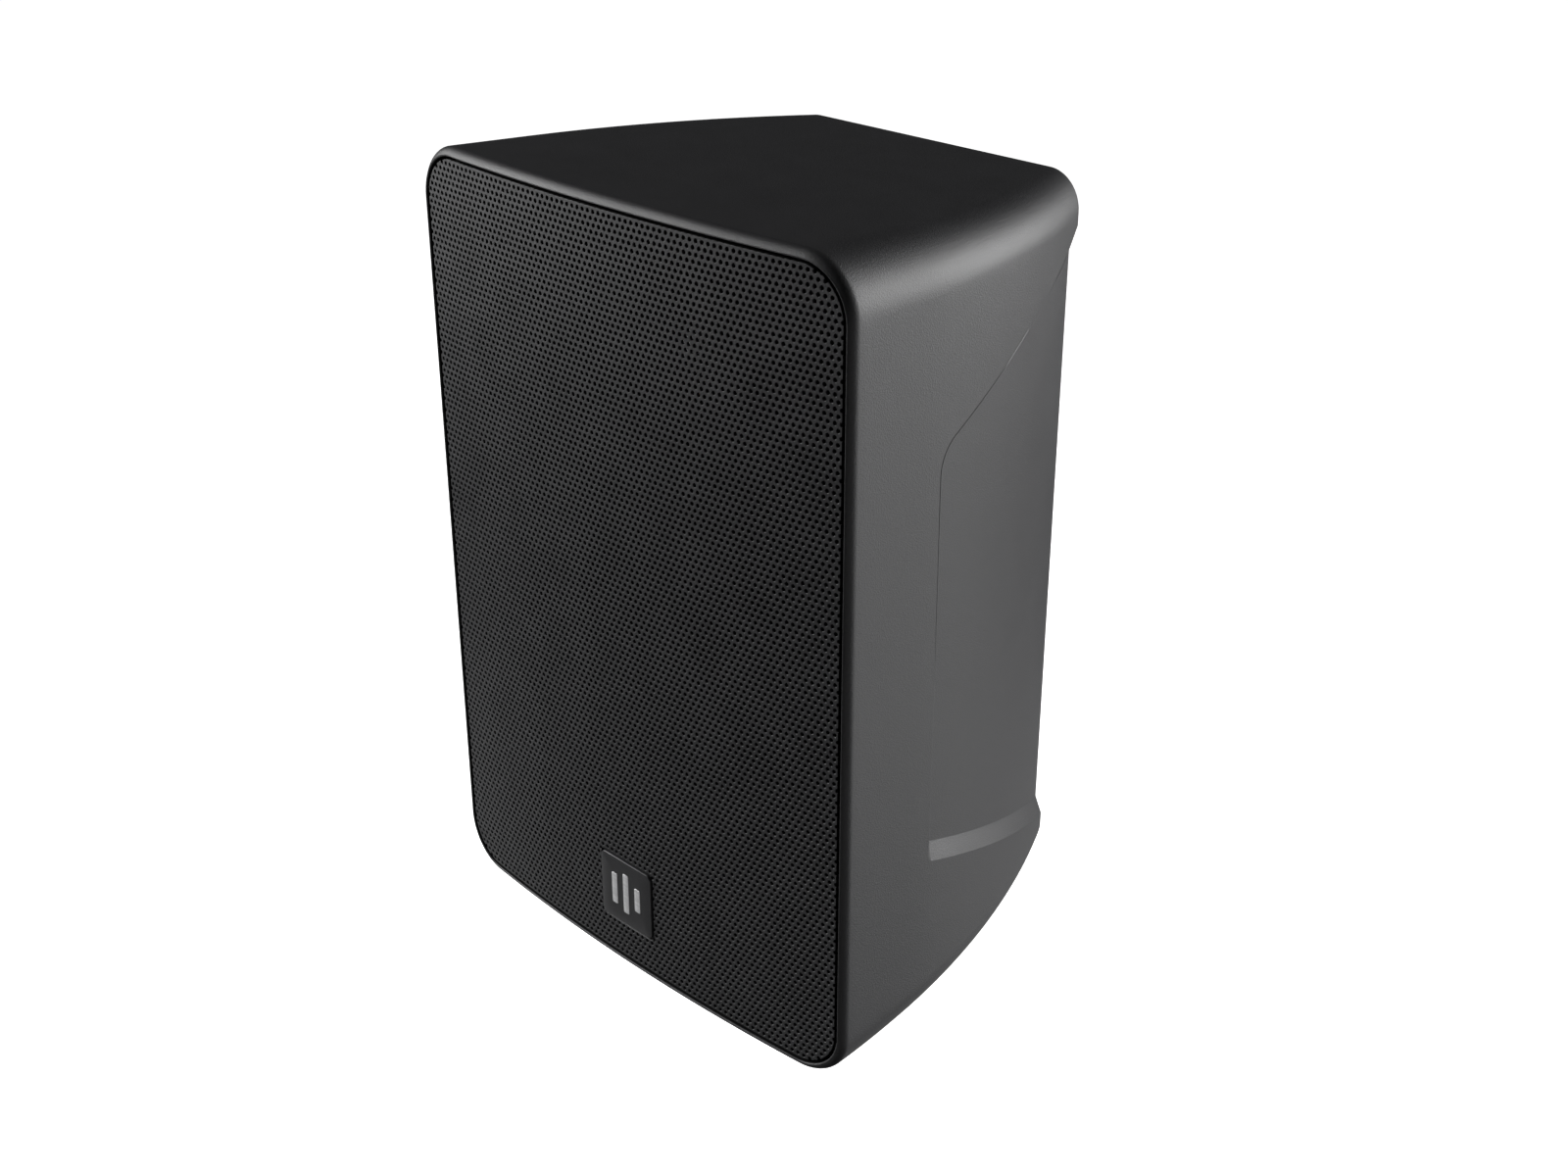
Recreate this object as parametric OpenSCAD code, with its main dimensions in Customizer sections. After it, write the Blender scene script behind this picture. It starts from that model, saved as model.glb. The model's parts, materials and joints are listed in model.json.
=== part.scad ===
// Compact two-way loudspeaker: moulded cabinet, horn-loaded dome tweeter, small woofer, bowed steel grille.
// Millimetres. +Z is up and the front faces -Y. The origin is midway between the two threaded inserts, on the
// flat back. Inside the modules, "y" is a distance behind the crown of the bowed front.

/* [Cabinet] */
// Width across the front lip
cabinet_w = 200; // [198:0.5:202]
// Height of the front lip
cabinet_h = 280; // [278:0.5:282]
// Depth from the crown of the front to the flat back
cabinet_d = 148.5; // [148:0.5:152]
// Radius of the bow across the front
bow_r = 869; // [800:1:1200]
// Corner radius of the cabinet's outline at the front
corner_r = 19; // [18:0.5:20]
// Corner radius of the cabinet's outline at the back
back_corner_r = 12.8; // [12:0.1:14]
// Depth at which the side walls start to close in
draft_start = 6; // [2:1:8]
// Sideways slope of the side walls near the front, per unit of depth
side_draft = 0.088; // [0.07:0.001:0.09]
// Depth at which the side walls start to curve in
curve_start = 40; // [38:1:44]
// Radius of the curved side walls, seen from above
side_r = 294; // [285:1:300]
// Downward slope of the top wall, per unit of depth
top_draft = 0.0515; // [0.04:0.0005:0.06]
// Upward slope of the bottom wall behind its level front part
bottom_draft = 0.1; // [0.08:0.005:0.11]
// Thickness of the top and bottom walls
wall = 3.2; // [3:0.1:3.6]
// Thickness of the back wall
back_wall = 5; // [4.5:0.5:6]

/* [Side recess] */
// Depth of the recess in each side
recess_depth = 3; // [2:0.1:3.2]
// Depth behind the front at which the recess starts
recess_start = 50; // [48:1:60]
// Height of the recess's upper front bend
recess_top = 70.2; // [60:0.1:72]
// Height of the recess's lower front bend
recess_bottom = -73; // [-75:0.1:-60]
// Rise of the recess's upper edge, per unit of depth
recess_top_slope = 0.451; // [0.4:0.001:0.46]
// Fall of the recess's lower edge, per unit of depth
recess_bottom_slope = 0.37; // [0.3:0.001:0.38]
// Radius of the recess's two front bends
recess_bend_r = 12; // [6:1:14]

/* [Baffle and grille] */
// Depth of the baffle's front face
baffle_y = 10.5; // [10:0.1:11]
// Thickness of the baffle
baffle_t = 4; // [3:0.1:4]
// Sideways place of the baffle screws
screw_x = 76; // [75:0.5:78]
// Height of the baffle screws above and below the centre
screw_z = 95.5; // [94:0.5:98]
// Gap between the lip and the grille
grille_gap = 1.6; // [1:0.1:1.8]
// Thickness of the grille sheet
grille_t = 1; // [0.8:0.1:1.2]
// Width of the square badge
badge_w = 26.6; // [24:0.1:28]
// Height of the badge's centre
badge_z = -108.8; // [-110:0.1:-107]

/* [Woofer] */
// Height of the woofer's axis
woofer_z = -50; // [-52:0.5:-49]
// Outer radius of the cone
cone_r = 44; // [43:0.1:44.5]
// Radius of the magnet ring
magnet_r = 42; // [38:0.5:44]

/* [Tweeter and horn] */
// Height of the tweeter's axis
tweeter_z = 80; // [79:0.5:81]
// Width of the horn's mouth
horn_w = 140; // [130:1:142]
// Height of the horn's mouth
horn_h = 86; // [80:1:86]
// Depth of the tweeter's mounting face
tweeter_y = 36; // [35:0.5:38]
// Radius of the dome
dome_r = 12.5; // [12:0.1:12.8]

/* [Back] */
// Distance between the two threaded inserts
insert_spacing = 60; // [56:1:64]
// Bore radius of the inserts, for an M6 thread
insert_bore_r = 2.5; // [2.4:0.05:2.6]
// Height of the terminal cup's centre
cup_z = -85; // [-86:0.5:-84]
// Depth of the terminal cup
cup_depth = 22; // [20:1:24]
// Height of the crossover board's centre
board_z = 82; // [80:1:84]

/* [Hidden] */
$fn = 72;

corner_steps = 6;
inner_r = corner_r - 2.5;
pocket_w = cabinet_w - 5;
pocket_h = cabinet_h - 6.4;
grille_w = pocket_w - 2 * grille_gap;
grille_h = pocket_h - 2 * grille_gap;
grille_r = inner_r - grille_gap;
grille_back = 9.3;
baffle_w = cabinet_w - 8.6;
baffle_h = cabinet_h - 9.6;
baffle_back = baffle_y + baffle_t;
seat_y = baffle_back + 1.5;
seat_t = 5;
side_inset = wall + recess_depth + 0.3;
back_inner = cabinet_d - back_wall;
collar_y = 20;
flange_y = 22.2;
cup_w = 66;
cup_h = 52;
cup_floor = cabinet_d - cup_depth;
lever_y = 127;
lever_xs = [-23, -9];
knob_x = 16;
insert_r = 4;
insert_l = 13;
throat_w = 34;
port_end = 52;
grille_set_back = 0.4;
woofer_screw_at = 42.8;
woofer_screw_r = 1.5;
surround_r = 48.5;
surround_y = 22.1;
former_r = 12.75;
tweeter_screw_r = 25;
tweeter_screw_angles = [90, 210, 330];
tweeter_roll_r = 14.6;
tweeter_roll_y = tweeter_y + 2.8;
dome_sphere_r = 18.1;
dome_sphere_y = tweeter_y + 15.6;
board_y = 136;
board_t = 1.6;
board_hole_x = 43;
board_hole_z = 28;
parts_y = board_y - 0.1;
bracket_screw_x = 29;
bracket_t = 1.2;
clearance = 0.05;
panel_screw_x = 34.6;
panel_screw_z = 27.6;

// ---- the cabinet's outer form ----

// Half width of the cabinet at a depth: a drafted flat, then an arc tangent to it
function side_x(y) = y < curve_start ? cabinet_w / 2 - side_draft * max(0, y - draft_start)
  : cabinet_w / 2 - side_draft * (curve_start - draft_start)
    - side_r * (sqrt(1 - pow(side_draft, 2)) - sqrt(1 - pow(side_draft + (y - curve_start) / side_r, 2)));

function top_z(y) = cabinet_h / 2 - top_draft * max(0, y - 2.2);

// The bottom is level at the front, eases up between depths of 10 and 40, then rises straight
function bottom_z(y) = -cabinet_h / 2 + (y < 10 ? 0 : y < 40 ? bottom_draft * pow(y - 10, 2) / 60
  : bottom_draft * (y - 25));

function outline_r(y) = corner_r + (back_corner_r - corner_r) * max(0, y) / cabinet_d;

// Points round the rounded outline at a depth, set in by a wall thickness
function outline(y, inset_x, inset_z) =
  let (r = outline_r(y) - min(inset_x, inset_z), x = side_x(y) - inset_x - r)
  [for (c = [[1, 1, 0], [-1, 1, 90], [-1, -1, 180], [1, -1, 270]])
    for (k = [0:corner_steps])
      let (a = c[2] + 90 * k / corner_steps)
      let (z = c[1] > 0 ? top_z(y) - inset_z - r : bottom_z(y) + inset_z + r)
      [c[0] * x + r * cos(a), y, z + r * sin(a)]];

// A closed skin through the outlines at the given depths
module skin(depths, inset_x, inset_z) {
  n = 4 * (corner_steps + 1);
  last = (len(depths) - 1) * n;
  points = [for (y = depths) each outline(y, inset_x, inset_z)];
  quads = [for (i = [0:len(depths) - 2]) for (j = [0:n - 1])
    [i * n + j, i * n + (j + 1) % n, (i + 1) * n + (j + 1) % n, (i + 1) * n + j]];
  faces = concat(
    [[for (j = [n - 1:-1:0]) j]],
    [[for (j = [0:n - 1]) last + j]],
    [for (q = quads) [q[0], q[1], q[2]]],
    [for (q = quads) [q[0], q[2], q[3]]]);
  polyhedron(points, faces, convexity = 4);
}

// ---- helpers ----

// Moves depths behind the front's crown to the part's frame
module from_front() translate([0, -cabinet_d, 0]) children();

// Extrudes an outline drawn in X and Z between two depths
module slab(y0, y1) translate([0, y1, 0]) rotate([90, 0, 0]) linear_extrude(y1 - y0) children();

module disc(r, y0, y1) translate([0, y0, 0]) rotate([-90, 0, 0]) cylinder(r = r, h = y1 - y0);

module ring(r, hole_r, y0, y1) difference() {
  disc(r, y0, y1);
  disc(hole_r, y0 - 1, y1 + 1);
}

// Turns a profile of radius and depth about the Y axis
module turned() rotate([-90, 0, 0]) rotate_extrude() children();

module rounded_square(w, h, r) {
  square([w - 2 * r, h], center = true);
  square([w, h - 2 * r], center = true);
  for (x = [-1, 1], z = [-1, 1]) translate([x * (w / 2 - r), z * (h / 2 - r)]) circle(r);
}

module at_corners(x, z) for (sx = [-1, 1], sz = [-1, 1]) translate([sx * x, 0, sz * z]) children();

// Everything behind the bowed front, set back by an offset
module behind_bow(offset_y) translate([0, bow_r, -cabinet_h])
  cylinder(r = bow_r - offset_y, h = 2 * cabinet_h, $fn = 200);

module pan_screw(head_r, head_h, shank_r, shank_l) {
  difference() {
    disc(head_r, 0, head_h);
    for (a = [0, 90]) rotate([0, a, 0]) translate([-head_r * 0.55, -1, -0.5]) cube([head_r * 1.1, 2.2, 1]);
  }
  disc(shank_r, head_h, head_h + shank_l);
}

// ---- cabinet ----

module side_recess() difference() {
  run = cabinet_d + 20 - recess_start;
  translate([50, 0, 0]) rotate([90, 0, 90]) linear_extrude(60)
    offset(r = recess_bend_r, $fn = 32) offset(delta = -recess_bend_r) polygon([
      [recess_start, recess_top], [recess_start, recess_bottom],
      [recess_start + run, recess_bottom - recess_bottom_slope * run],
      [recess_start + run, recess_top + recess_top_slope * run]]);
  skin([30, 45, 60, 75, 90, 105, 120, 135, cabinet_d + 21], recess_depth, 0);
}

module rear_shell() color([0.05, 0.05, 0.05]) from_front() difference() {
  union() {
    difference() {
      skin([-1, draft_start, 23, curve_start, 54, 68, 82, 96, 110, 124, 136, cabinet_d], 0, 0);
      slab(-10, baffle_y) rounded_square(pocket_w, pocket_h, inner_r);
      slab(baffle_y - 1, seat_y) rounded_square(baffle_w + 0.6, baffle_h + 0.6, inner_r - 1.5);
      slab(seat_y - 1, seat_y + seat_t + 1) rounded_square(pocket_w - 15, pocket_h - 14.6, inner_r - 5);
      skin([seat_y + seat_t, 40, 58, 76, 94, 112, 130, back_inner], side_inset, wall);
      side_recess();
      mirror([1, 0, 0]) side_recess();
    }
    for (sx = [-1, 1], sz = [-1, 1]) translate([sx * screw_x, 0, sz * screw_z]) {
      disc(5.5, baffle_back + 0.2, 48);
      translate([sx > 0 ? 2 : -17, 23, -1.5]) cube([15, 24, 3]);
    }
    for (sz = [-1, 1]) translate([0, 0, sz * insert_spacing / 2]) disc(8, back_inner - 14, back_inner + 1);
    translate([0, 0, cup_z]) at_corners(panel_screw_x, panel_screw_z) disc(4, back_inner - 7, back_inner + 1);
  }
  translate([0, bow_r, -cabinet_h]) difference() {
    translate([-cabinet_w, -bow_r - 20, 0]) cube([2 * cabinet_w, 60, 2 * cabinet_h]);
    cylinder(r = bow_r, h = 2 * cabinet_h, $fn = 200);
  }
  at_corners(screw_x, screw_z) disc(1.6, baffle_back - 1, 40);
  for (sz = [-1, 1]) translate([0, 0, sz * insert_spacing / 2])
    disc(insert_r, cabinet_d - insert_l - 1.5, cabinet_d + 1);
  translate([0, 0, cup_z]) {
    slab(back_inner - 10, cabinet_d + 1) rounded_square(cup_w + 1, cup_h + 1, 5);
    slab(cabinet_d - 3.2, cabinet_d + 1) rounded_square(cup_w + 13, cup_h + 13, 6);
    at_corners(panel_screw_x, panel_screw_z) disc(1.3, back_inner - 5, cabinet_d);
  }
  for (sx = [-1, 1]) translate([sx * bracket_screw_x, 0, 0]) disc(1.45, back_inner - 1, back_inner + 3.6);
}

module mount_inserts() color([0.75, 0.6, 0.3]) from_front()
  for (sz = [-1, 1]) translate([0, 0, sz * insert_spacing / 2]) difference() {
    disc(insert_r, cabinet_d - insert_l, cabinet_d);
    disc(insert_bore_r, cabinet_d - insert_l + 1, cabinet_d + 1);
  }

// ---- baffle ----

// A pyramid between a wide mouth and a small throat
module funnel(mouth_w, mouth_h, y0, throat, y1) {
  points = [for (s = [[mouth_w / 2, mouth_h / 2, y0], [throat / 2, throat / 2, y1]])
    for (q = [[1, 1], [-1, 1], [-1, -1], [1, -1]]) [q[0] * s[0], s[2], q[1] * s[1]]];
  polyhedron(points, [[3, 2, 1, 0], [4, 5, 6, 7], [0, 1, 5, 4], [1, 2, 6, 5], [2, 3, 7, 6], [3, 0, 4, 7]]);
}

module port_outline(grow) offset(delta = grow) polygon([[47, 26], [70.5, 25.4], [70.2, 7.2]]);

module front_baffle() color([0.06, 0.06, 0.06]) from_front() difference() {
  union() {
    slab(baffle_y, baffle_back) rounded_square(baffle_w, baffle_h, inner_r - 1.8);
    translate([0, 0, woofer_z]) disc(66, baffle_y, collar_y);
    translate([0, 0, tweeter_z]) funnel(horn_w + 1, horn_h + 1, baffle_y + 1, throat_w + 6, tweeter_y - 2);
    translate([0, 0, tweeter_z]) disc(30, tweeter_y - 6, tweeter_y);
    for (m = [0, 1]) mirror([m, 0, 0]) slab(baffle_y + 1, port_end) port_outline(2.2);
  }
  translate([0, 0, woofer_z]) translate([0, baffle_y - 0.01, 0]) rotate([-90, 0, 0])
    cylinder(r1 = 60, r2 = 54, h = collar_y - baffle_y + 0.02);
  translate([0, 0, woofer_z]) rotate([0, 45, 0]) at_corners(woofer_screw_at, woofer_screw_at)
    disc(woofer_screw_r + 0.05, 13, collar_y + 1);
  translate([0, 0, tweeter_z]) {
    funnel(horn_w + 4, horn_h + 4 * horn_h / horn_w, baffle_y - 1, throat_w, tweeter_y - 3);
    disc(15, tweeter_y - 5, tweeter_y + 1);
    for (a = tweeter_screw_angles) rotate([0, a, 0]) translate([tweeter_screw_r, 0, 0])
      disc(1.3, tweeter_y - 5, tweeter_y + 1);
  }
  for (m = [0, 1]) mirror([m, 0, 0]) slab(baffle_y - 1, port_end + 1) port_outline(0);
  at_corners(screw_x, screw_z) disc(2, baffle_y - 1, baffle_back + 1);
}

module baffle_gasket() color([0.12, 0.12, 0.12]) from_front()
  slab(baffle_back + clearance, seat_y - clearance) difference() {
    rounded_square(baffle_w - 1, baffle_h - 1, inner_r - 2);
    rounded_square(pocket_w - 14, pocket_h - 13.6, inner_r - 5);
  }

module baffle_screws() color("silver") from_front() at_corners(screw_x, screw_z)
  translate([0, baffle_y - 2.2, 0]) pan_screw(3.5, 2.2, 1.5, 24);

module grille_foam_strip() color([0.15, 0.15, 0.15]) from_front() slab(7.2, baffle_y) difference() {
  rounded_square(grille_w - 3, grille_h - 3, grille_r - 1.5);
  rounded_square(grille_w - 9, grille_h - 9, grille_r - 4);
}

// ---- grille ----

module grille() color([0.1, 0.1, 0.1]) from_front() difference() {
  intersection() {
    slab(-5, grille_back) rounded_square(grille_w, grille_h, grille_r);
    behind_bow(grille_set_back);
  }
  intersection() {
    slab(-5, grille_back + 1) rounded_square(grille_w - 2.4, grille_h - 2.4, grille_r - 1.2);
    behind_bow(grille_set_back + grille_t);
  }
  translate([0, 0, badge_z]) slab(-2, 5) square(badge_w + 0.4, center = true);
}

module badge_plate() color([0.08, 0.08, 0.08]) from_front() translate([0, 0, badge_z]) difference() {
  union() {
    slab(-0.1, 1.6) rounded_square(badge_w, badge_w, 2.3);
    slab(1.6, 2.6) rounded_square(badge_w + 5, badge_w + 5, 2.3);
  }
  badge_bars(0.9);
}

// Three upright bars of different heights
module badge_bars(y1) for (i = [-1:1])
  translate([6 * i, 0, 0]) slab(-1, y1) square([3, 16 - 5 * abs(i) - 1.5 * i], center = true);

module badge_mark() color("silver") from_front() translate([0, 0, badge_z]) intersection() {
  badge_bars(0.9);
  slab(-0.3, 5) square(badge_w, center = true);
}

// ---- woofer ----

module on_woofer() from_front() translate([0, 0, woofer_z]) children();

module woofer_basket() color([0.16, 0.16, 0.17]) on_woofer() difference() {
  turned() polygon([
    [53, flange_y], [64, flange_y], [64, flange_y + 3], [57, flange_y + 3], [42, 54], [42, 59],
    [14, 59], [14, 56.5], [38, 56.5], [38.5, 54], [39.6, 52], [32, 52], [32, 50.5], [40.5, 50.5], [53, 26]]);
  for (a = [0:60:300]) rotate([0, a, 0]) translate([34, 29, -9]) cube([30, 20, 18]);
  rotate([0, 45, 0]) at_corners(woofer_screw_at, woofer_screw_at) disc(1.8, flange_y - 1, flange_y + 4);
}

module woofer_gasket() color([0.12, 0.12, 0.12]) on_woofer() difference() {
  ring(64, 57.4, collar_y + clearance, flange_y - clearance);
  rotate([0, 45, 0]) at_corners(woofer_screw_at, woofer_screw_at) disc(1.8, 10, 30);
}

module woofer_screws() color([0.3, 0.3, 0.32]) on_woofer() rotate([0, 45, 0])
  at_corners(woofer_screw_at, woofer_screw_at)
  translate([0, flange_y + 5.2, 0]) mirror([0, 1, 0]) pan_screw(3.2, 2.1, woofer_screw_r, 10.5);

module woofer_cone() color([0.1, 0.1, 0.1]) on_woofer() turned() polygon([
  [former_r + 0.1, 45.5], [18, 41.4], [30, 32.6], [cone_r, 25.2],
  [cone_r, 26.2], [30, 33.7], [18, 42.6], [former_r + 0.1, 46.7]]);

module woofer_surround() color([0.08, 0.08, 0.08]) on_woofer() turned() difference() {
  union() {
    translate([surround_r, surround_y]) circle(4.9);
    translate([cone_r - 1, 24.3]) square([1.2, 0.8]);
    translate([cone_r - 1.5, 21.4]) square([1.2, 3.7]);
    translate([53, 21.35]) square([4.2, 0.8]);
  }
  translate([surround_r, surround_y]) circle(4.2);
  translate([surround_r - 4.2, surround_y + 0.05]) square([20, 8]);
}

module woofer_dust_cap() color([0.07, 0.07, 0.07]) on_woofer() difference() {
  translate([0, 52.9, 0]) sphere(21.5);
  translate([0, 52.9, 0]) sphere(20.8);
  disc(40, 41.2, 90);
}

module woofer_spider() color([0.6, 0.45, 0.2]) on_woofer() turned() polygon([
  [former_r + 0.1, 48], [16, 49.2], [20, 47.8], [24, 49.2], [28, 47.8], [31, 49.8], [38, 49.8], [38, 50.4],
  [30.8, 50.4], [28, 48.5], [24, 49.9], [20, 48.5], [16, 49.9], [former_r + 0.1, 48.7]]);

module woofer_coil_former() color([0.7, 0.6, 0.4]) on_woofer() ring(former_r, former_r - 0.3, 43, 68);

module woofer_coil_winding() color([0.7, 0.35, 0.15]) on_woofer()
  ring(former_r + 0.5, former_r + clearance, 58.5, 66.5);

module woofer_top_plate() color([0.5, 0.5, 0.52]) on_woofer() ring(36, 13.7, 59.05, 64);

module woofer_magnet() color([0.13, 0.13, 0.14]) on_woofer() ring(magnet_r, 18, 64.05, 79);

module woofer_yoke() color([0.5, 0.5, 0.52]) on_woofer() {
  disc(36, 79.05, 84);
  disc(12, 57, 79.1);
}

module woofer_tag_strip() color([0.3, 0.2, 0.1]) on_woofer() translate([-8, 54, 42.1]) {
  cube([16, 5, 2]);
  for (x = [2.5, 11.5]) translate([x, 1, 2]) cube([2, 0.6, 7]);
}

// ---- tweeter ----

module on_tweeter() from_front() translate([0, 0, tweeter_z]) children();

module tweeter_plate() color([0.1, 0.1, 0.1]) on_tweeter() difference() {
  disc(30, tweeter_y + clearance, tweeter_y + 4);
  disc(16.5, tweeter_y - 1, tweeter_y + 5);
  disc(18.6, tweeter_y + 2.3, tweeter_y + 5);
  for (a = tweeter_screw_angles) rotate([0, a, 0]) translate([tweeter_screw_r, 0, 0])
    disc(1.6, tweeter_y - 1, tweeter_y + 5);
}

module tweeter_screws() color([0.3, 0.3, 0.32]) on_tweeter() for (a = tweeter_screw_angles)
  rotate([0, a, 0]) translate([tweeter_screw_r, tweeter_y + 6, 0])
    mirror([0, 1, 0]) pan_screw(2.6, 1.9, 1.2, 7.5);

module tweeter_dome() color([0.35, 0.35, 0.37]) on_tweeter() difference() {
  translate([0, dome_sphere_y, 0]) sphere(dome_sphere_r);
  translate([0, dome_sphere_y, 0]) sphere(dome_sphere_r - 0.4);
  disc(40, tweeter_y + 2.4, 90);
}

module tweeter_surround() color([0.1, 0.1, 0.1]) on_tweeter() turned() difference() {
  union() {
    translate([tweeter_roll_r, tweeter_roll_y]) circle(1.7);
    translate([16, tweeter_y + 2.4]) square([2.4, 0.4]);
  }
  translate([tweeter_roll_r, tweeter_roll_y]) circle(1.4);
  translate([12, tweeter_roll_y]) square([8, 8]);
}

module tweeter_coil() color([0.7, 0.35, 0.15]) on_tweeter()
  ring(dome_r + 0.2, dome_r - 0.3, tweeter_y + 2.5, tweeter_y + 9.5);

module tweeter_top_plate() color([0.5, 0.5, 0.52]) on_tweeter()
  ring(21, dome_r + 0.7, tweeter_y + 4 + clearance, tweeter_y + 8);

module tweeter_magnet() color([0.13, 0.13, 0.14]) on_tweeter()
  ring(21.5, 14.5, tweeter_y + 8 + clearance, tweeter_y + 16);

module tweeter_yoke() color([0.5, 0.5, 0.52]) on_tweeter() {
  disc(21, tweeter_y + 16 + clearance, tweeter_y + 20);
  disc(dome_r - 0.8, tweeter_y + 4.5, tweeter_y + 16.1);
}

// ---- crossover ----

module on_board() from_front() translate([0, 0, board_z]) children();

module crossover_board() color([0.1, 0.35, 0.15]) on_board() difference() {
  slab(board_y, board_y + board_t) square([96, 66], center = true);
  at_corners(board_hole_x, board_hole_z) disc(1.6, 130, 140);
}

module board_standoffs() color([0.8, 0.8, 0.78]) on_board() at_corners(board_hole_x, board_hole_z)
  ring(3.2, 1.3, board_y + board_t + clearance, back_inner - clearance);

module board_screws() color([0.6, 0.6, 0.62]) on_board() at_corners(board_hole_x, board_hole_z)
  translate([0, board_y - 2.1, 0]) pan_screw(2.7, 2.05, 1.25, 6);

module woofer_choke() color([0.7, 0.35, 0.15]) on_board() translate([-24, 0, 8]) ring(18.5, 8, 119, parts_y);

module tweeter_choke() color([0.7, 0.35, 0.15]) on_board() translate([30, 0, -16]) ring(12, 5, 124, parts_y);

// A can lying on the board, along X
module can(x0, x1, r, z) translate([x0, parts_y - r, z]) rotate([0, 90, 0]) cylinder(r = r, h = x1 - x0);

module capacitors() color([0.75, 0.65, 0.2]) on_board() {
  can(6, 40, 7.5, 22);
  can(8, 36, 6, 7);
  can(-38, -16, 5.5, -24);
}

module resistors() color([0.85, 0.83, 0.78]) on_board() {
  translate([-12, parts_y - 8.9, -30]) cube([24, 8.9, 9]);
  translate([-4, parts_y - 7.9, -14]) cube([7.5, 7.9, 24]);
}

// ---- line transformer ----

module transformer_core() color([0.35, 0.35, 0.37]) from_front() slab(112, 130) difference() {
  square([44, 36], center = true);
  for (s = [-1, 1]) translate([s * 11, 0]) square([8, 22], center = true);
}

module transformer_coil() color([0.8, 0.7, 0.3]) from_front() difference() {
  translate([-14.7, 105, -10.7]) cube([29.4, 32, 21.4]);
  translate([-7.3, 111.7, -20]) cube([14.6, 18.6, 40]);
}

module transformer_bracket() color([0.6, 0.6, 0.62]) from_front() difference() {
  union() {
    translate([-34, back_inner - 1.3, -9]) cube([68, 1.25, 18]);
    for (m = [0, 1]) mirror([m, 0, 0]) {
      translate([22.1, 110.7, -9]) cube([bracket_t, back_inner - 111.5, 18]);
      translate([16, 110.7, -9]) cube([7, bracket_t, 18]);
    }
  }
  for (s = [-1, 1]) translate([s * bracket_screw_x, 0, 0]) disc(1.7, 130, 150);
}

module transformer_screws() color([0.6, 0.6, 0.62]) from_front() for (s = [-1, 1])
  translate([s * bracket_screw_x, back_inner - 3.6, 0]) pan_screw(3, 2.25, 1.4, 4.7);

// ---- terminal cup ----

module on_cup() from_front() translate([0, 0, cup_z]) children();

module terminal_cup() color([0.07, 0.07, 0.07]) on_cup() difference() {
  union() {
    slab(cabinet_d - 2.2, cabinet_d) rounded_square(cup_w + 12, cup_h + 12, 5.5);
    slab(cup_floor - 2, cabinet_d - 1) rounded_square(cup_w, cup_h, 4.5);
  }
  slab(cup_floor, cabinet_d + 1) rounded_square(cup_w - 4, cup_h - 4, 2.5);
  translate([-16, 0, 0]) slab(100, 140) square([31, 25], center = true);
  translate([knob_x, 0, 0]) disc(4.1, 100, 140);
  at_corners(panel_screw_x, panel_screw_z) {
    disc(1.7, 140, 150);
    translate([0, cabinet_d - 1.75, 0]) rotate([-90, 0, 0]) cylinder(r1 = 1.45, r2 = 3.2, h = 1.76);
  }
}

module cup_gasket() color([0.15, 0.15, 0.15]) on_cup() slab(cabinet_d - 3.15, cabinet_d - 2.25) difference() {
  rounded_square(cup_w + 12, cup_h + 12, 5.5);
  rounded_square(cup_w + 1, cup_h + 1, 5);
  for (sx = [-1, 1], sz = [-1, 1]) translate([sx * panel_screw_x, sz * panel_screw_z]) circle(1.7);
}

module cup_screws() color([0.3, 0.3, 0.32]) on_cup() at_corners(panel_screw_x, panel_screw_z) difference() {
  union() {
    translate([0, cabinet_d - 1.7, 0]) rotate([-90, 0, 0]) cylinder(r1 = 1.2, r2 = 2.8, h = 1.6);
    disc(1.2, cabinet_d - 9.5, cabinet_d - 1.6);
  }
  for (a = [0, 90]) rotate([0, a, 0]) translate([-1.7, cabinet_d - 1.1, -0.45]) cube([3.4, 2, 0.9]);
}

module terminal_block() color([0.1, 0.1, 0.1]) on_cup() difference() {
  union() {
    translate([-31, 114, -12]) cube([30, 18, 24]);
    translate([-33, 122.3, -14]) cube([34, 2, 28]);
  }
  for (x = lever_xs) translate([x, 0, 0]) {
    translate([-4.5, 121, 0]) cube([9, 20, 14]);
    translate([-5.8, lever_y, 6]) rotate([0, 90, 0]) cylinder(r = 1.25, h = 11.6);
    translate([0, 0, -6.5]) disc(1.6, 118, 140);
  }
}

module lever(x) on_cup() translate([x, lever_y, 6]) {
  rotate([0, 90, 0]) translate([0, 0, -4.2]) cylinder(r = 2.6, h = 8.4);
  rotate([0, 90, 0]) translate([0, 0, -5.6]) cylinder(r = 1.2, h = 11.2);
  translate([-4.2, 0, -1.4]) cube([8.4, 13, 2.8]);
  translate([-4.2, 11.4, -2.6]) cube([8.4, 1.6, 2]);
}

module terminal_lever_red() color([0.7, 0.08, 0.06]) lever(lever_xs[0]);

module terminal_lever_black() color([0.04, 0.04, 0.04]) lever(lever_xs[1]);

module selector_switch() color([0.12, 0.12, 0.12]) on_cup() translate([knob_x, 0, 0]) difference() {
  union() {
    translate([-12, 108, -12]) cube([24, 16.2, 24]);
    disc(4, 124, 129.5);
  }
  disc(3.05, 112, 140);
}

module selector_knob() color([0.09, 0.09, 0.09]) on_cup() translate([knob_x, 0, 0]) {
  disc(3, 113, 131);
  difference() {
    disc(9, 130, 141);
    translate([-0.6, 139.8, 2]) cube([1.2, 5, 8]);
    for (a = [15:30:345]) rotate([0, a, 0]) translate([9.6, 0, 0]) disc(1.2, 129, 142);
  }
}

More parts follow.
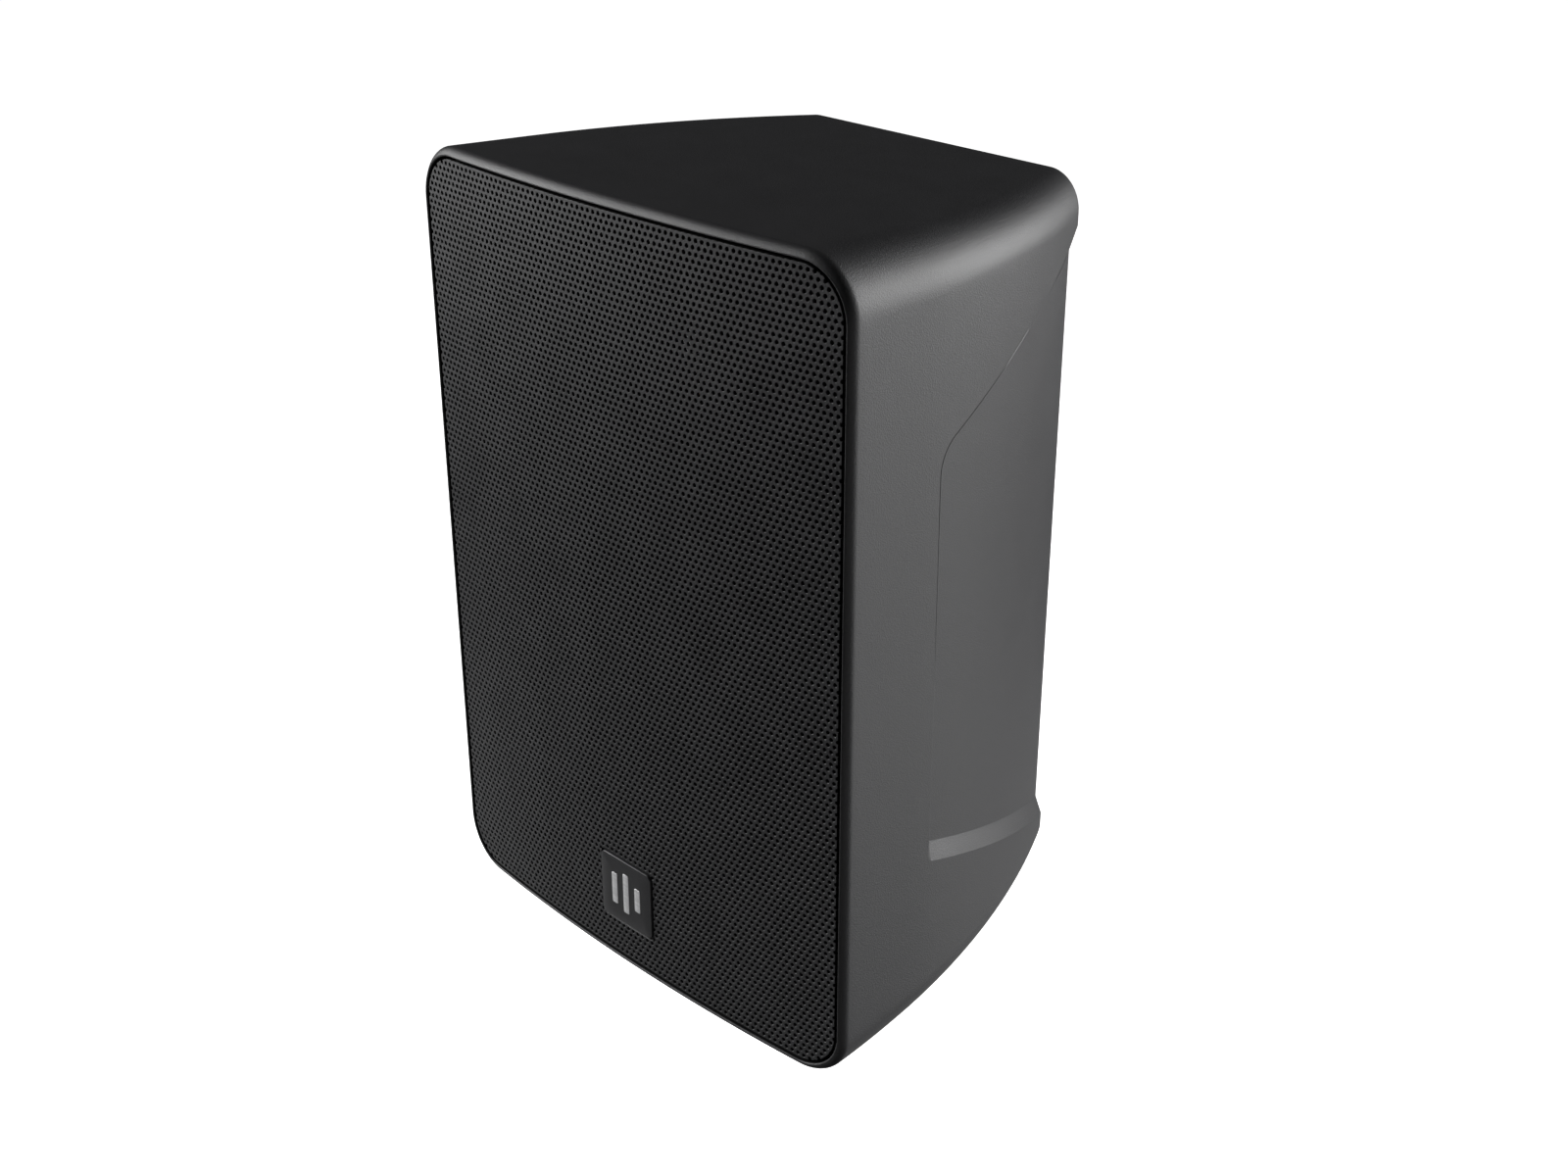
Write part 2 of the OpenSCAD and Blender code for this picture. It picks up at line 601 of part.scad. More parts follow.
rear_shell();
front_baffle();
baffle_gasket();
baffle_screws();
grille();
grille_foam_strip();
badge_plate();
badge_mark();
woofer_basket();
woofer_gasket();
woofer_cone();
woofer_surround();
woofer_dust_cap();
woofer_spider();
woofer_coil_former();
woofer_coil_winding();
woofer_top_plate();
woofer_magnet();
woofer_yoke();
woofer_tag_strip();
woofer_screws();
tweeter_plate();
tweeter_dome();
tweeter_surround();
tweeter_coil();
tweeter_top_plate();
tweeter_magnet();
tweeter_yoke();
tweeter_screws();
crossover_board();
woofer_choke();
tweeter_choke();
capacitors();
resistors();
board_standoffs();
board_screws();
transformer_core();
transformer_coil();
transformer_bracket();
transformer_screws();
terminal_cup();
cup_gasket();
cup_screws();
terminal_block();
terminal_lever_red();
terminal_lever_black();
selector_switch();
selector_knob();
mount_inserts();
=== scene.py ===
"""A compact two-way loudspeaker: the looks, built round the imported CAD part.

Lengths are millimetres until a mesh is made. In the builders y is the depth behind the crown of the bowed
front, x is to the right and z is up from the middle of the front.
"""

import json
import math

import bmesh
import bpy
import numpy as np
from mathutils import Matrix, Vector
from mathutils.geometry import delaunay_2d_cdt

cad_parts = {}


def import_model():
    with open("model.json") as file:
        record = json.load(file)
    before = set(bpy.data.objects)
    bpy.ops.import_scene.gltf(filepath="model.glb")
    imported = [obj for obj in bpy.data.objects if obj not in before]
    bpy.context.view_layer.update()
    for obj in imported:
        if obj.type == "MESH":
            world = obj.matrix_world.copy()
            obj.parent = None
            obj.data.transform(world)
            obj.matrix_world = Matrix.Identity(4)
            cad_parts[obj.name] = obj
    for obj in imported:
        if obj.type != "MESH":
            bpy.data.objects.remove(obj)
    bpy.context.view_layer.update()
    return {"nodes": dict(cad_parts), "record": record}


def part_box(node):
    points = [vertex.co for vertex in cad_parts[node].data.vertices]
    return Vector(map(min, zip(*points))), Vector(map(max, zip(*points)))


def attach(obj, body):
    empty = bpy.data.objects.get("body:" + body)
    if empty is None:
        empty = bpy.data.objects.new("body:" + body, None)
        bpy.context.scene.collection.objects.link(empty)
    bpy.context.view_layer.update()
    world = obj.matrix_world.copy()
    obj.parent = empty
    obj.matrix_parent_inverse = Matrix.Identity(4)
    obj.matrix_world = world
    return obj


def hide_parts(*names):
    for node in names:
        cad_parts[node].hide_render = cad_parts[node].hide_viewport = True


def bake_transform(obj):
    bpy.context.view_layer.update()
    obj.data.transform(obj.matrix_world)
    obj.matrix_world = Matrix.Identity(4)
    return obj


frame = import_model()

MM = 0.001
shell_low, shell_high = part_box("rear_shell")
WIDTH = 2 * shell_high.x / MM
HEIGHT = 2 * shell_high.z / MM
DEPTH = -shell_low.y / MM

# The cabinet's outer form
BOW_R = 869.0
CORNER_R = 19.0
BACK_CORNER_R = 12.8
DRAFT_START = 6.0
SIDE_DRAFT = 0.088
CURVE_START = 40.0
SIDE_R = 294.0
TOP_DRAFT = 0.0515
BOTTOM_DRAFT = 0.1
LIP_IN_X = 2.1
LIP_IN_Z = 2.8
LIP_FALL = 3.6
LIP_TURN = math.radians(65)
LIP_EDGE = 0.6
BACK_EDGE = 0.8
BACK_WALL = 5.0

# The opening in the front, and the parts that sit in it
POCKET_W = WIDTH - 5
POCKET_H = HEIGHT - 6.4
POCKET_R = 16.5
BAFFLE_Y = 10.5
BAFFLE_BACK = 14.5
GRILLE_GAP = 1.2
GRILLE_BACK = 9.3

# The recess in each side
RECESS_DEPTH = 3.0
RECESS_START = 49.7
RECESS_TOP = 70.9
RECESS_BOTTOM = -73.2
RECESS_TOP_SLOPE = 0.452
RECESS_BOTTOM_SLOPE = 0.378

WOOFER_Z = -50.0
TWEETER_Z = 80.0
TWEETER_Y = 36.0
BADGE_Z = -108.8
CUP_Z = -85.0
INSERT_Z = 30.0


# ---------------------------------------------------------------- outlines and meshes

def circle(r, x=0.0, z=0.0, steps=48):
    return [(x + r * math.cos(2 * math.pi * k / steps), z + r * math.sin(2 * math.pi * k / steps))
            for k in range(steps)]


def soften(points, radius, steps=5, closed=True):
    """Rounds the corners of an outline. radius is one number, or one for each corner."""
    corners = [Vector(p) for p in points]
    radii = [radius] * len(corners) if isinstance(radius, (int, float)) else radius
    out = []
    for i, p in enumerate(corners):
        if radii[i] <= 0 or (not closed and i in (0, len(corners) - 1)):
            out.append(tuple(p))
            continue
        to_last = corners[i - 1] - p
        to_next = corners[(i + 1) % len(corners)] - p
        turn = math.pi - to_last.angle(to_next)
        reach = min(radii[i] * math.tan(turn / 2), to_last.length * 0.49, to_next.length * 0.49)
        start, end = to_last.normalized() * reach, to_next.normalized() * reach
        middle = (start + end).normalized() * (reach / math.sin(turn / 2))
        for k in range(steps + 1):
            t = k / steps
            arm = (start - middle) * math.sin((1 - t) * turn) + (end - middle) * math.sin(t * turn)
            out.append(tuple(p + middle + arm / math.sin(turn)))
    return out


def panel(w, h, r, x=0.0, z=0.0, steps=6):
    """A rounded rectangle."""
    corners = [(w / 2, h / 2), (-w / 2, h / 2), (-w / 2, -h / 2), (w / 2, -h / 2)]
    return [(x + px, z + pz) for px, pz in soften(corners, max(r, 0.02), steps)]


def inside(points, outline):
    """Which of the points lie inside a closed outline."""
    x, z = points[:, 0, None], points[:, 1, None]
    a = np.asarray(outline, float)
    b = np.roll(a, -1, axis=0)
    crosses = (a[:, 1] > z) != (b[:, 1] > z)
    rise = np.where(b[:, 1] == a[:, 1], 1.0, b[:, 1] - a[:, 1])
    at = a[:, 0] + (z - a[:, 1]) * (b[:, 0] - a[:, 0]) / rise
    return (crosses & (x < at)).sum(1) % 2 == 1


def triangles(points, edges):
    """Triangles over flat points that keep the given edges. Returns corners and triangles, as arrays."""
    verts, _, faces, origin, *_ = delaunay_2d_cdt([Vector(p) for p in points], edges, [], 0, 1e-5)
    places = np.array([points[o[0]] if o else (v.x, v.y) for v, o in zip(verts, origin)], float)
    return places, np.array([f for f in faces if len(f) == 3], int), origin


def loop_edges(first, count):
    return [(first + i, first + (i + 1) % count) for i in range(count)]


def stands_for(node_name, k):
    """Of several pieces for one CAD node, the first replaces it."""
    return [node_name] if k == 0 else []


def put_in_scene(name, data):
    made = bpy.data.objects.new(name, data)
    bpy.context.scene.collection.objects.link(made)
    return made


class Piece:
    """Collects corners and faces, and makes them into one object."""

    def __init__(self):
        self.points = []
        self.faces = []

    def add(self, points):
        first = len(self.points)
        self.points += [tuple(p) for p in points]
        return list(range(first, len(self.points)))

    def band(self, a, b, closed=True):
        for i in range(len(a) if closed else len(a) - 1):
            j = (i + 1) % len(a)
            self.faces.append((a[i], a[j], b[j], b[i]))

    def loft(self, rings, closed=True):
        """Faces between rings of (x, y, z)."""
        rows = [self.add(r) for r in rings]
        for a, b in zip(rows, rows[1:]):
            self.band(a, b, closed)
        return rows

    def walls(self, rings, closed=True):
        """Faces between flat outlines, given as (outline of (x, z), depth)."""
        return self.loft([[(x, y, z) for x, z in line] for line, y in rings], closed)

    def flat(self, outlines, y):
        """Fills the first outline, less the others, at a depth."""
        points, edges = [], []
        for line in outlines:
            edges += loop_edges(len(points), len(line))
            points += line
        places, tris, _ = triangles(points, edges)
        middles = places[tris].mean(1)
        keep = inside(middles, outlines[0])
        for hole in outlines[1:]:
            keep &= ~inside(middles, hole)
        rows = self.add([(x, y, z) for x, z in places])
        self.faces += [tuple(rows[i] for i in t) for t in tris[keep]]

    def turned(self, profile, x=0.0, z=0.0, steps=72, closed=False):
        """Turns a profile of (radius, depth) about an axis along Y."""
        rings = [[(x + px, y, z + pz) for px, pz in circle(max(r, 0.0), steps=steps)] for r, y in profile]
        return self.loft(rings + rings[:1] if closed else rings)

    def make(self, name, material, body, replaces=(), sharp=35, weld=0.001, slot=None):
        """Makes the object. With no body, the piece is left free."""
        slot = slot or material
        mesh = bpy.data.meshes.new(name)
        places = np.array(self.points, float)
        places[:, 1] -= DEPTH
        mesh.from_pydata((places * MM).tolist(), [], self.faces)
        work = bmesh.new()
        work.from_mesh(mesh)
        bmesh.ops.remove_doubles(work, verts=work.verts, dist=weld * MM)
        bmesh.ops.recalc_face_normals(work, faces=work.faces)
        work.to_mesh(mesh)
        work.free()
        mesh.shade_smooth()
        mesh.set_sharp_from_angle(angle=math.radians(sharp))
        piece = put_in_scene(name, mesh)
        mesh.materials.append(MATERIALS[material])
        if body:
            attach(piece, body)
        if replaces:
            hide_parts(*replaces)
        return piece


def cap(piece, row, flat):
    """Fills a closed row of corners, whose flat outline is given."""
    places, tris, origin = triangles(flat, loop_edges(0, len(flat)))
    tris = tris[inside(places[tris].mean(1), flat)]
    piece.faces += [tuple(row[origin[i][0]] for i in t) for t in tris]


def fillet(edge, steps=4):
    """(inset, fall) pairs round a quarter circle, from a face to the wall beside it."""
    return [(edge * (1 - math.sin(a)), edge * (1 - math.cos(a)))
            for a in (math.pi / 2 * k / steps for k in range(steps + 1))]


def rounded_walls(outline, y0, y1, edge0=0.0, edge1=0.0):
    """Rings from the face at y0 to the face at y1. outline(inset) gives the outline set in by a distance."""
    side = 1 if y1 > y0 else -1
    first = [(outline(i), y0 + side * f) for i, f in fillet(edge0)] if edge0 else [(outline(0), y0)]
    last = [(outline(i), y1 - side * f) for i, f in reversed(fillet(edge1))] if edge1 else [(outline(0), y1)]
    return first + last


# ---------------------------------------------------------------- materials

def node(tree, kind, **settings):
    made = tree.nodes.new(kind)
    for key, value in settings.items():
        if key.startswith("in_"):
            made.inputs[key[3:].replace("_", " ")].default_value = value
        else:
            setattr(made, key, value)
    return made


def ramp(tree, source, stops):
    """A colour ramp over a value, with stops of (place, grey or colour)."""
    made = tree.nodes.new("ShaderNodeValToRGB")
    elements = made.color_ramp.elements
    while len(elements) < len(stops):
        elements.new(0.5)
    for element, (place, tone) in zip(elements, stops):
        element.position = place
        element.color = (tone, tone, tone, 1) if isinstance(tone, (int, float)) else (*tone, 1)
    tree.links.new(source, made.inputs["Fac"])
    return made.outputs["Color"]


def noise(tree, where, scale, detail=2.0, rough=0.5):
    made = node(tree, "ShaderNodeTexNoise", in_Scale=scale, in_Detail=detail, in_Roughness=rough)
    tree.links.new(where, made.inputs["Vector"])
    return made.outputs["Fac"]


def cells(tree, where, scale, feature="F1"):
    made = node(tree, "ShaderNodeTexVoronoi", in_Scale=scale, feature=feature)
    tree.links.new(where, made.inputs["Vector"])
    return made.outputs["Distance"]


def maths(tree, operation, a, b):
    made = node(tree, "ShaderNodeMath", operation=operation)
    for socket, value in zip(made.inputs, (a, b)):
        if isinstance(value, (int, float)):
            socket.default_value = value
        else:
            tree.links.new(value, socket)
    return made.outputs[0]


MATERIALS = {}


def surface(name, color, rough, spread=0.1, grain=None, metallic=0.0, coat=0.0, specular=0.5,
            tone_scale=60.0, tone_spread=0.15, stretch=(1, 1, 1), wear=0.0, sheen=0.0):
    """A material whose colour and roughness drift, with bumps from grain: (kind, per metre, height)."""
    made = bpy.data.materials.new(name)
    made.use_nodes = True
    tree = made.node_tree
    shader = tree.nodes["Principled BSDF"]
    shader.inputs["Metallic"].default_value = metallic
    shader.inputs["Specular IOR Level"].default_value = specular
    shader.inputs["Coat Weight"].default_value = coat
    shader.inputs["Coat Roughness"].default_value = 0.08
    shader.inputs["Sheen Weight"].default_value = sheen
    place = node(tree, "ShaderNodeTexCoord").outputs["Object"]
    mapping = node(tree, "ShaderNodeMapping", in_Scale=stretch)
    tree.links.new(place, mapping.inputs["Vector"])
    place = mapping.outputs["Vector"]
    drift = noise(tree, place, tone_scale, 4.0, 0.6)
    dark = tuple(c * (1 - tone_spread) for c in color)
    light = tuple(min(1.0, c * (1 + tone_spread)) for c in color)
    tone = ramp(tree, drift, [(0.3, dark), (0.7, light)])
    shine = maths(tree, "MULTIPLY", maths(tree, "SUBTRACT", drift, 0.5), spread * 2)
    shine = maths(tree, "ADD", shine, rough)
    if wear:
        pointed = node(tree, "ShaderNodeNewGeometry").outputs["Pointiness"]
        edge = ramp(tree, pointed, [(0.53, 0.0), (0.6, 1.0)])
        patches = ramp(tree, noise(tree, place, 260, 3.0), [(0.4, 0.0), (0.62, 1.0)])
        broken = maths(tree, "MULTIPLY", edge, patches)
        amount = maths(tree, "MULTIPLY", broken, wear)
        mix = node(tree, "ShaderNodeMix", data_type="RGBA")
        tree.links.new(amount, mix.inputs["Factor"])
        tree.links.new(tone, mix.inputs["A"])
        mix.inputs["B"].default_value = (*[min(1.0, c * 2.2 + 0.02) for c in color], 1)
        tone = mix.outputs["Result"]
        shine = maths(tree, "SUBTRACT", shine, maths(tree, "MULTIPLY", amount, 0.15))
    tree.links.new(tone, shader.inputs["Base Color"])
    tree.links.new(shine, shader.inputs["Roughness"])
    normal = None
    for kind, per_metre, height in grain or []:
        field = cells(tree, place, per_metre) if kind == "cells" else noise(tree, place, per_metre, 3.0)
        bump = node(tree, "ShaderNodeBump", in_Strength=1.0, in_Distance=height)
        tree.links.new(field, bump.inputs["Height"])
        if normal:
            tree.links.new(normal, bump.inputs["Normal"])
        normal = bump.outputs["Normal"]
    if normal:
        tree.links.new(normal, shader.inputs["Normal"])
    MATERIALS[name] = made


surface("shell_plastic", (0.031, 0.031, 0.033), 0.47, 0.02, wear=0.25, tone_spread=0.06,
        grain=[("cells", 2100, 0.00005), ("noise", 4800, 0.000032)])
# Painted shade: a near-black, dull copy of the cabinet plastic for the wall of the front opening, so the gap
# round the grille reads as shade
surface("pocket_painted_shade", (0.006, 0.006, 0.006), 0.8, 0.05, specular=0.15,
        grain=[("noise", 2600, 0.00004)])
surface("inner_plastic", (0.012, 0.012, 0.013), 0.5, 0.06, grain=[("noise", 1800, 0.00004)])
surface("control_plastic", (0.02, 0.02, 0.022), 0.42, 0.06, wear=0.3, grain=[("noise", 2200, 0.00004)])
surface("red_plastic", (0.55, 0.022, 0.014), 0.32, 0.06, wear=0.1, grain=[("noise", 1500, 0.00002)])
surface("black_plastic", (0.012, 0.012, 0.013), 0.3, 0.06, wear=0.3, grain=[("noise", 1500, 0.00002)])
surface("grille_steel", (0.03, 0.03, 0.032), 0.45, 0.06, specular=0.5, grain=[("noise", 5200, 0.00003)])
# Painted shade: a near-black, dull copy of the grille's paint for the flange and the sheet's cut edge, which
# stand in the shaded gap
surface("grille_edge_painted_shade", (0.006, 0.006, 0.006), 0.8, 0.06, specular=0.15, grain=[("noise", 3000, 0.00003)])
surface("foam", (0.016, 0.016, 0.017), 0.95, 0.03, grain=[("cells", 1400, 0.0003)])
surface("rubber", (0.014, 0.014, 0.014), 0.55, 0.08, grain=[("noise", 1500, 0.00004)])
surface("badge_lacquer", (0.045, 0.045, 0.047), 0.34, 0.03, coat=0.2, tone_spread=0.06,
        grain=[("noise", 1600, 0.000008)])
surface("badge_silver", (0.8, 0.8, 0.81), 0.34, 0.06, metallic=0.25, stretch=(1, 1, 18),
        grain=[("noise", 800, 0.00001)])
surface("screw_zinc", (0.86, 0.86, 0.84), 0.3, 0.08, metallic=0.45, tone_scale=400,
        grain=[("noise", 2400, 0.00002)])
surface("screw_black", (0.05, 0.05, 0.055), 0.38, 0.1, metallic=0.8, tone_scale=400, wear=0.4,
        grain=[("noise", 2400, 0.00002)])
surface("basket_steel", (0.03, 0.03, 0.032), 0.45, 0.08, metallic=0.3, grain=[("noise", 1800, 0.00005)])
surface("cone_paper", (0.022, 0.022, 0.024), 0.72, 0.08,
        grain=[("noise", 900, 0.00022), ("noise", 3200, 0.00008)], tone_scale=500, tone_spread=0.3)
surface("dome_metal", (0.5, 0.5, 0.52), 0.34, 0.06, metallic=1.0, grain=[("noise", 2000, 0.00001)])
surface("spider_cloth", (0.42, 0.3, 0.12), 0.9, 0.05, sheen=0.2, grain=[("cells", 2200, 0.00015)])
surface("former", (0.5, 0.42, 0.28), 0.6, 0.08, grain=[("noise", 1600, 0.00005)])
surface("copper", (0.72, 0.3, 0.12), 0.32, 0.1, metallic=0.9, stretch=(1, 14, 1),
        grain=[("noise", 700, 0.0002)])
surface("ferrite", (0.045, 0.045, 0.05), 0.62, 0.1, grain=[("noise", 1200, 0.00012)])
surface("plated_steel", (0.62, 0.62, 0.64), 0.36, 0.12, metallic=1.0, grain=[("noise", 1500, 0.00004)])
surface("laminate", (0.02, 0.13, 0.04), 0.35, 0.08, grain=[("noise", 1800, 0.00003)])
surface("film_yellow", (0.62, 0.42, 0.06), 0.3, 0.08, grain=[("noise", 900, 0.00003)])
surface("resistor_ceramic", (0.75, 0.73, 0.67), 0.75, 0.08, grain=[("noise", 2200, 0.00008)])
surface("brass", (0.72, 0.52, 0.22), 0.3, 0.1, metallic=1.0, grain=[("noise", 1800, 0.00003)])

for row in frame["record"]["subparts"]:
    carried = frame["nodes"][row["node"]]
    carried.data.materials.clear()
    carried.data.materials.append(MATERIALS[row["material_slot"]])


# ---------------------------------------------------------------- cabinet

def side_x(y):
    y = np.asarray(y, float)
    straight = WIDTH / 2 - SIDE_DRAFT * np.maximum(0, y - DRAFT_START)
    lean = np.minimum(0.98, SIDE_DRAFT + (y - CURVE_START) / SIDE_R)
    curved = (WIDTH / 2 - SIDE_DRAFT * (CURVE_START - DRAFT_START)
              - SIDE_R * (math.sqrt(1 - SIDE_DRAFT ** 2) - np.sqrt(1 - lean ** 2)))
    return np.where(y < CURVE_START, straight, curved)


def top_z(y):
    return HEIGHT / 2 - TOP_DRAFT * np.maximum(0, np.asarray(y, float) - 2.2)


def bottom_z(y):
    y = np.asarray(y, float)
    eased = BOTTOM_DRAFT * (y - 10) ** 2 / 60
    return -HEIGHT / 2 + np.where(y < 10, 0, np.where(y < 40, eased, BOTTOM_DRAFT * (y - 25)))


def corner_at(y):
    return CORNER_R + (BACK_CORNER_R - CORNER_R) * np.maximum(0, np.asarray(y, float)) / DEPTH


def bow(x):
    """Depth of the bowed front at a distance from the middle."""
    return np.asarray(x, float) ** 2 / (2 * BOW_R)


CORNER_STEPS = 16
FLAT_STEPS = 40


def round_places(sides):
    """Places round the outline, anticlockwise from the foot of the right wall, as rows of
    (sideways share, upward share, cosine, sine). sides are the upward shares of points on the side walls."""
    flats = np.linspace(1, -1, FLAT_STEPS + 1)[1:-1]
    rows = [(1, g, 1, 0) for g in sides[:-1]]
    for sx, g, start in ((1, 1, 0), (-1, 1, 90), (-1, 0, 180), (1, 0, 270)):
        turn = [math.radians(start + 90 * k / CORNER_STEPS) for k in range(CORNER_STEPS + 1)]
        rows += [(sx, g, math.cos(a), math.sin(a)) for a in turn]
        if start == 0:
            rows += [(f, 1, 0, 1) for f in flats]
        if start == 90:
            rows += [(-1, up, -1, 0) for up in sides[-2:0:-1]]
        if start == 180:
            rows += [(-f, 0, 0, -1) for f in flats]
    return np.array(rows[:-1], float)


def outline_at(places, y, inset_x=0.0, inset_z=0.0):
    share, up, c, s = places.T
    r = corner_at(y) - min(inset_x, inset_z)
    top, foot = top_z(y) - inset_z - r, bottom_z(y) + inset_z + r
    return share * (side_x(y) - inset_x - r) + r * c, foot + up * (top - foot) + r * s


def rectangle_at(places, w, h, r):
    share, up, c, s = places.T
    return share * (w / 2 - r) + r * c, (2 * up - 1) * (h / 2 - r) + r * s


def level_ring(x, z, y):
    return np.column_stack([x, np.full(len(x), y), z])


def lip_ring(places, turn):
    """A line along the rounded lip. turn is 0 where it meets the sides and LIP_TURN at the opening's edge."""
    share = (1 - math.cos(turn)) / (1 - math.cos(LIP_TURN))
    fall = LIP_FALL * (1 - math.sin(turn) / math.sin(LIP_TURN))
    y = np.full(len(places), 5.0)
    for _ in range(3):
        x, z = outline_at(places, y, LIP_IN_X * share, LIP_IN_Z * share)
        y = bow(x) + fall
    return np.column_stack([x, y, z])


def sampled(corners, radii, counts, steps=10):
    """A path with rounded corners and counts of points along its straight stretches."""
    path = soften(corners, radii, steps, closed=False)
    ends = [0] + [1 + k * (steps + 1) for k in range(len(corners) - 2)] + [len(path) - 1]
    out = []
    for k, count in enumerate(counts):
        a = path[ends[k]] if k == 0 else path[ends[k] + steps]
        b = path[ends[k + 1]]
        share = np.linspace(0, 1, count + 2)
        out += [tuple(np.array(a) * (1 - t) + np.array(b) * t) for t in share[:-1]]
        if k < len(counts) - 1:
            out += path[ends[k + 1]:ends[k + 1] + steps]
    return np.array(out + [path[-1]])


BACK_Y = DEPTH - BACK_EDGE
LEDGE_H = 6.1
TOP_RAMP_START, TOP_RAMP_END, TOP_RAMP_H = 92.0, 148.0, 9.0
STEEP = 0.8
FOOT_STEEP = 2.0
RECESS_ROUND = (0.5, 0.7)
RECESS_MARGIN = 1.4
GROOVE_AT, GROOVE_W, GROOVE_DEPTH = 0.75, 0.3, 0.22


def recess_edges():
    """The recess's outer edge and its floor's edge, as matching points of (depth, height)."""
    def top(y):
        return RECESS_TOP + RECESS_TOP_SLOPE * (y - RECESS_START)

    def foot(y):
        return RECESS_BOTTOM - RECESS_BOTTOM_SLOPE * (y - RECESS_START)

    counts = (44, 30, 44)
    outer = sampled([(BACK_Y, top(BACK_Y)), (RECESS_START, top(RECESS_START)),
                     (RECESS_START, foot(RECESS_START)), (BACK_Y, foot(BACK_Y))], [0, 12, 3.5, 0], counts)
    near, low = RECESS_START + STEEP, RECESS_START + FOOT_STEEP
    inner = sampled([(BACK_Y, top(BACK_Y) - STEEP), (near, top(near) - STEEP),
                     (low, foot(low) + LEDGE_H), (BACK_Y, foot(BACK_Y) + LEDGE_H)], [0, 11.4, 3.5, 0], counts)
    on_top = np.arange(len(inner)) <= counts[0]
    rise = np.clip((inner[:, 0] - TOP_RAMP_START) / (TOP_RAMP_END - TOP_RAMP_START), 0, 1)
    inner[:, 1] -= np.where(on_top, (TOP_RAMP_H - STEEP) * rise ** 2 * (3 - 2 * rise), 0)
    return outer, inner


def recess_levels():
    """Lines that run along the recess's walls, each with how deep its points lie, as a share."""
    outer, inner = recess_edges()
    width = np.linalg.norm(inner - outer, axis=1)
    across = (inner - outer) / width[:, None]
    # A fine groove follows the edge. It is deepest near the bend, and runs out towards the rear and the foot
    to_rear = np.clip(1.1 - (outer[:, 0] - 60) / 50, 0, 1)
    to_foot = np.clip((outer[:, 1] + 10) / 80, 0, 1)
    groove = GROOVE_DEPTH * np.minimum(to_rear, to_foot)
    sections = []
    for w, g in zip(width, groove):
        line = [(-RECESS_MARGIN, 0), (-GROOVE_AT - GROOVE_W / 2, 0),
                (-GROOVE_AT, g), (-GROOVE_AT + GROOVE_W / 2, 0),
                (0, 0), (w / 2, RECESS_DEPTH / 2), (w, RECESS_DEPTH), (w + RECESS_MARGIN, RECESS_DEPTH)]
        sections.append(soften(line, [0, 0, 0, 0, RECESS_ROUND[0], 0, RECESS_ROUND[1], 0], 4, closed=False))
    sections = np.array(sections)
    return [(outer + across * sections[:, k, :1], sections[:, k, 1] / RECESS_DEPTH)
            for k in range(sections.shape[1])]


FRONT_SIDES = np.linspace(0, 1, 41)
STATIONS = np.concatenate([np.linspace(0, 0.1, 6), np.linspace(0.1, 1, 37)[1:]])


def side_places_at_back():
    """Upward shares of the points on the side wall's rear edge, and how deep each lies."""
    foot = float(bottom_z(BACK_Y) + corner_at(BACK_Y))
    top = float(top_z(BACK_Y) - corner_at(BACK_Y))
    ends = [(line[i][1], deep[i]) for line, deep in recess_levels() for i in (0, -1)]
    heights = sorted(e[0] for e in ends)
    low, high = [h for h in heights if h < 0], [h for h in heights if h > 0]
    spare = [(z, 0.0) for z in np.linspace(foot, low[0], 4)[:-1]]
    spare += [(z, 1.0) for z in np.linspace(low[-1], high[0], 40)[1:-1]]
    spare += [(z, 0.0) for z in np.linspace(high[-1], top, 5)[1:]]
    marks = sorted(ends + spare)
    return (np.array([m[0] for m in marks]) - foot) / (top - foot), np.array([m[1] for m in marks])


def side_wall(piece, back_shares, back_deep):
    """Both side walls, with their recesses."""
    front_y = float(lip_ring(round_places(FRONT_SIDES)[:1], 0)[0, 1])
    y_at = front_y + (BACK_Y - front_y) * STATIONS
    foot, top = bottom_z(y_at) + corner_at(y_at), top_z(y_at) - corner_at(y_at)
    points = [(front_y, foot[0] + g * (top[0] - foot[0])) for g in FRONT_SIDES]
    points += list(zip(y_at[1:], top[1:]))
    points += [(BACK_Y, foot[-1] + g * (top[-1] - foot[-1])) for g in back_shares[-2::-1]]
    points += list(zip(y_at[-2:0:-1], foot[-2:0:-1]))
    border = list(points)
    edges = loop_edges(0, len(points))
    levels = recess_levels()
    deep_at = {}
    for line, deep in levels:
        first = len(points)
        edges += [(first + i, first + i + 1) for i in range(len(line) - 1)]
        deep_at.update({first + i: d for i, d in enumerate(deep)})
        points += [tuple(p) for p in line]
    on_walls = np.array(points[len(border):])
    grid = np.array([(y, z) for y in np.arange(front_y + 3.5, BACK_Y - 3, 4.0)
                     for z in np.arange(foot[0] + 3, top[0] - 2, 5.0)])
    grid = grid[inside(grid, border)]
    gap = np.linalg.norm(grid[:, None] - on_walls[None], axis=2).min(1)
    edge_gap = np.linalg.norm(grid[:, None] - np.array(border)[None], axis=2).min(1)
    in_outer, in_inner = inside(grid, levels[0][0]), inside(grid, levels[-1][0])
    grid = grid[(gap > 2.0) & (edge_gap > 2.0) & (in_inner | ~in_outer)]
    points += [tuple(p) for p in grid]
    places, tris, _ = triangles(points, edges)
    tris = tris[inside(places[tris].mean(1), border)]
    lookup = {tuple(np.round(points[i], 6)): d for i, d in deep_at.items()}
    lookup.update({tuple(np.round((BACK_Y, foot[-1] + g * (top[-1] - foot[-1])), 6)): d
                   for g, d in zip(back_shares, back_deep)})
    floor = inside(places, levels[-1][0])
    deep = np.array([lookup.get(tuple(np.round(p, 6)), float(f)) for p, f in zip(places, floor)])
    x = side_x(places[:, 0]) - RECESS_DEPTH * deep
    for sx in (1, -1):
        rows = piece.add(np.column_stack([sx * x, places[:, 0], places[:, 1]]))
        piece.faces += [tuple(rows[i] for i in t) for t in tris]


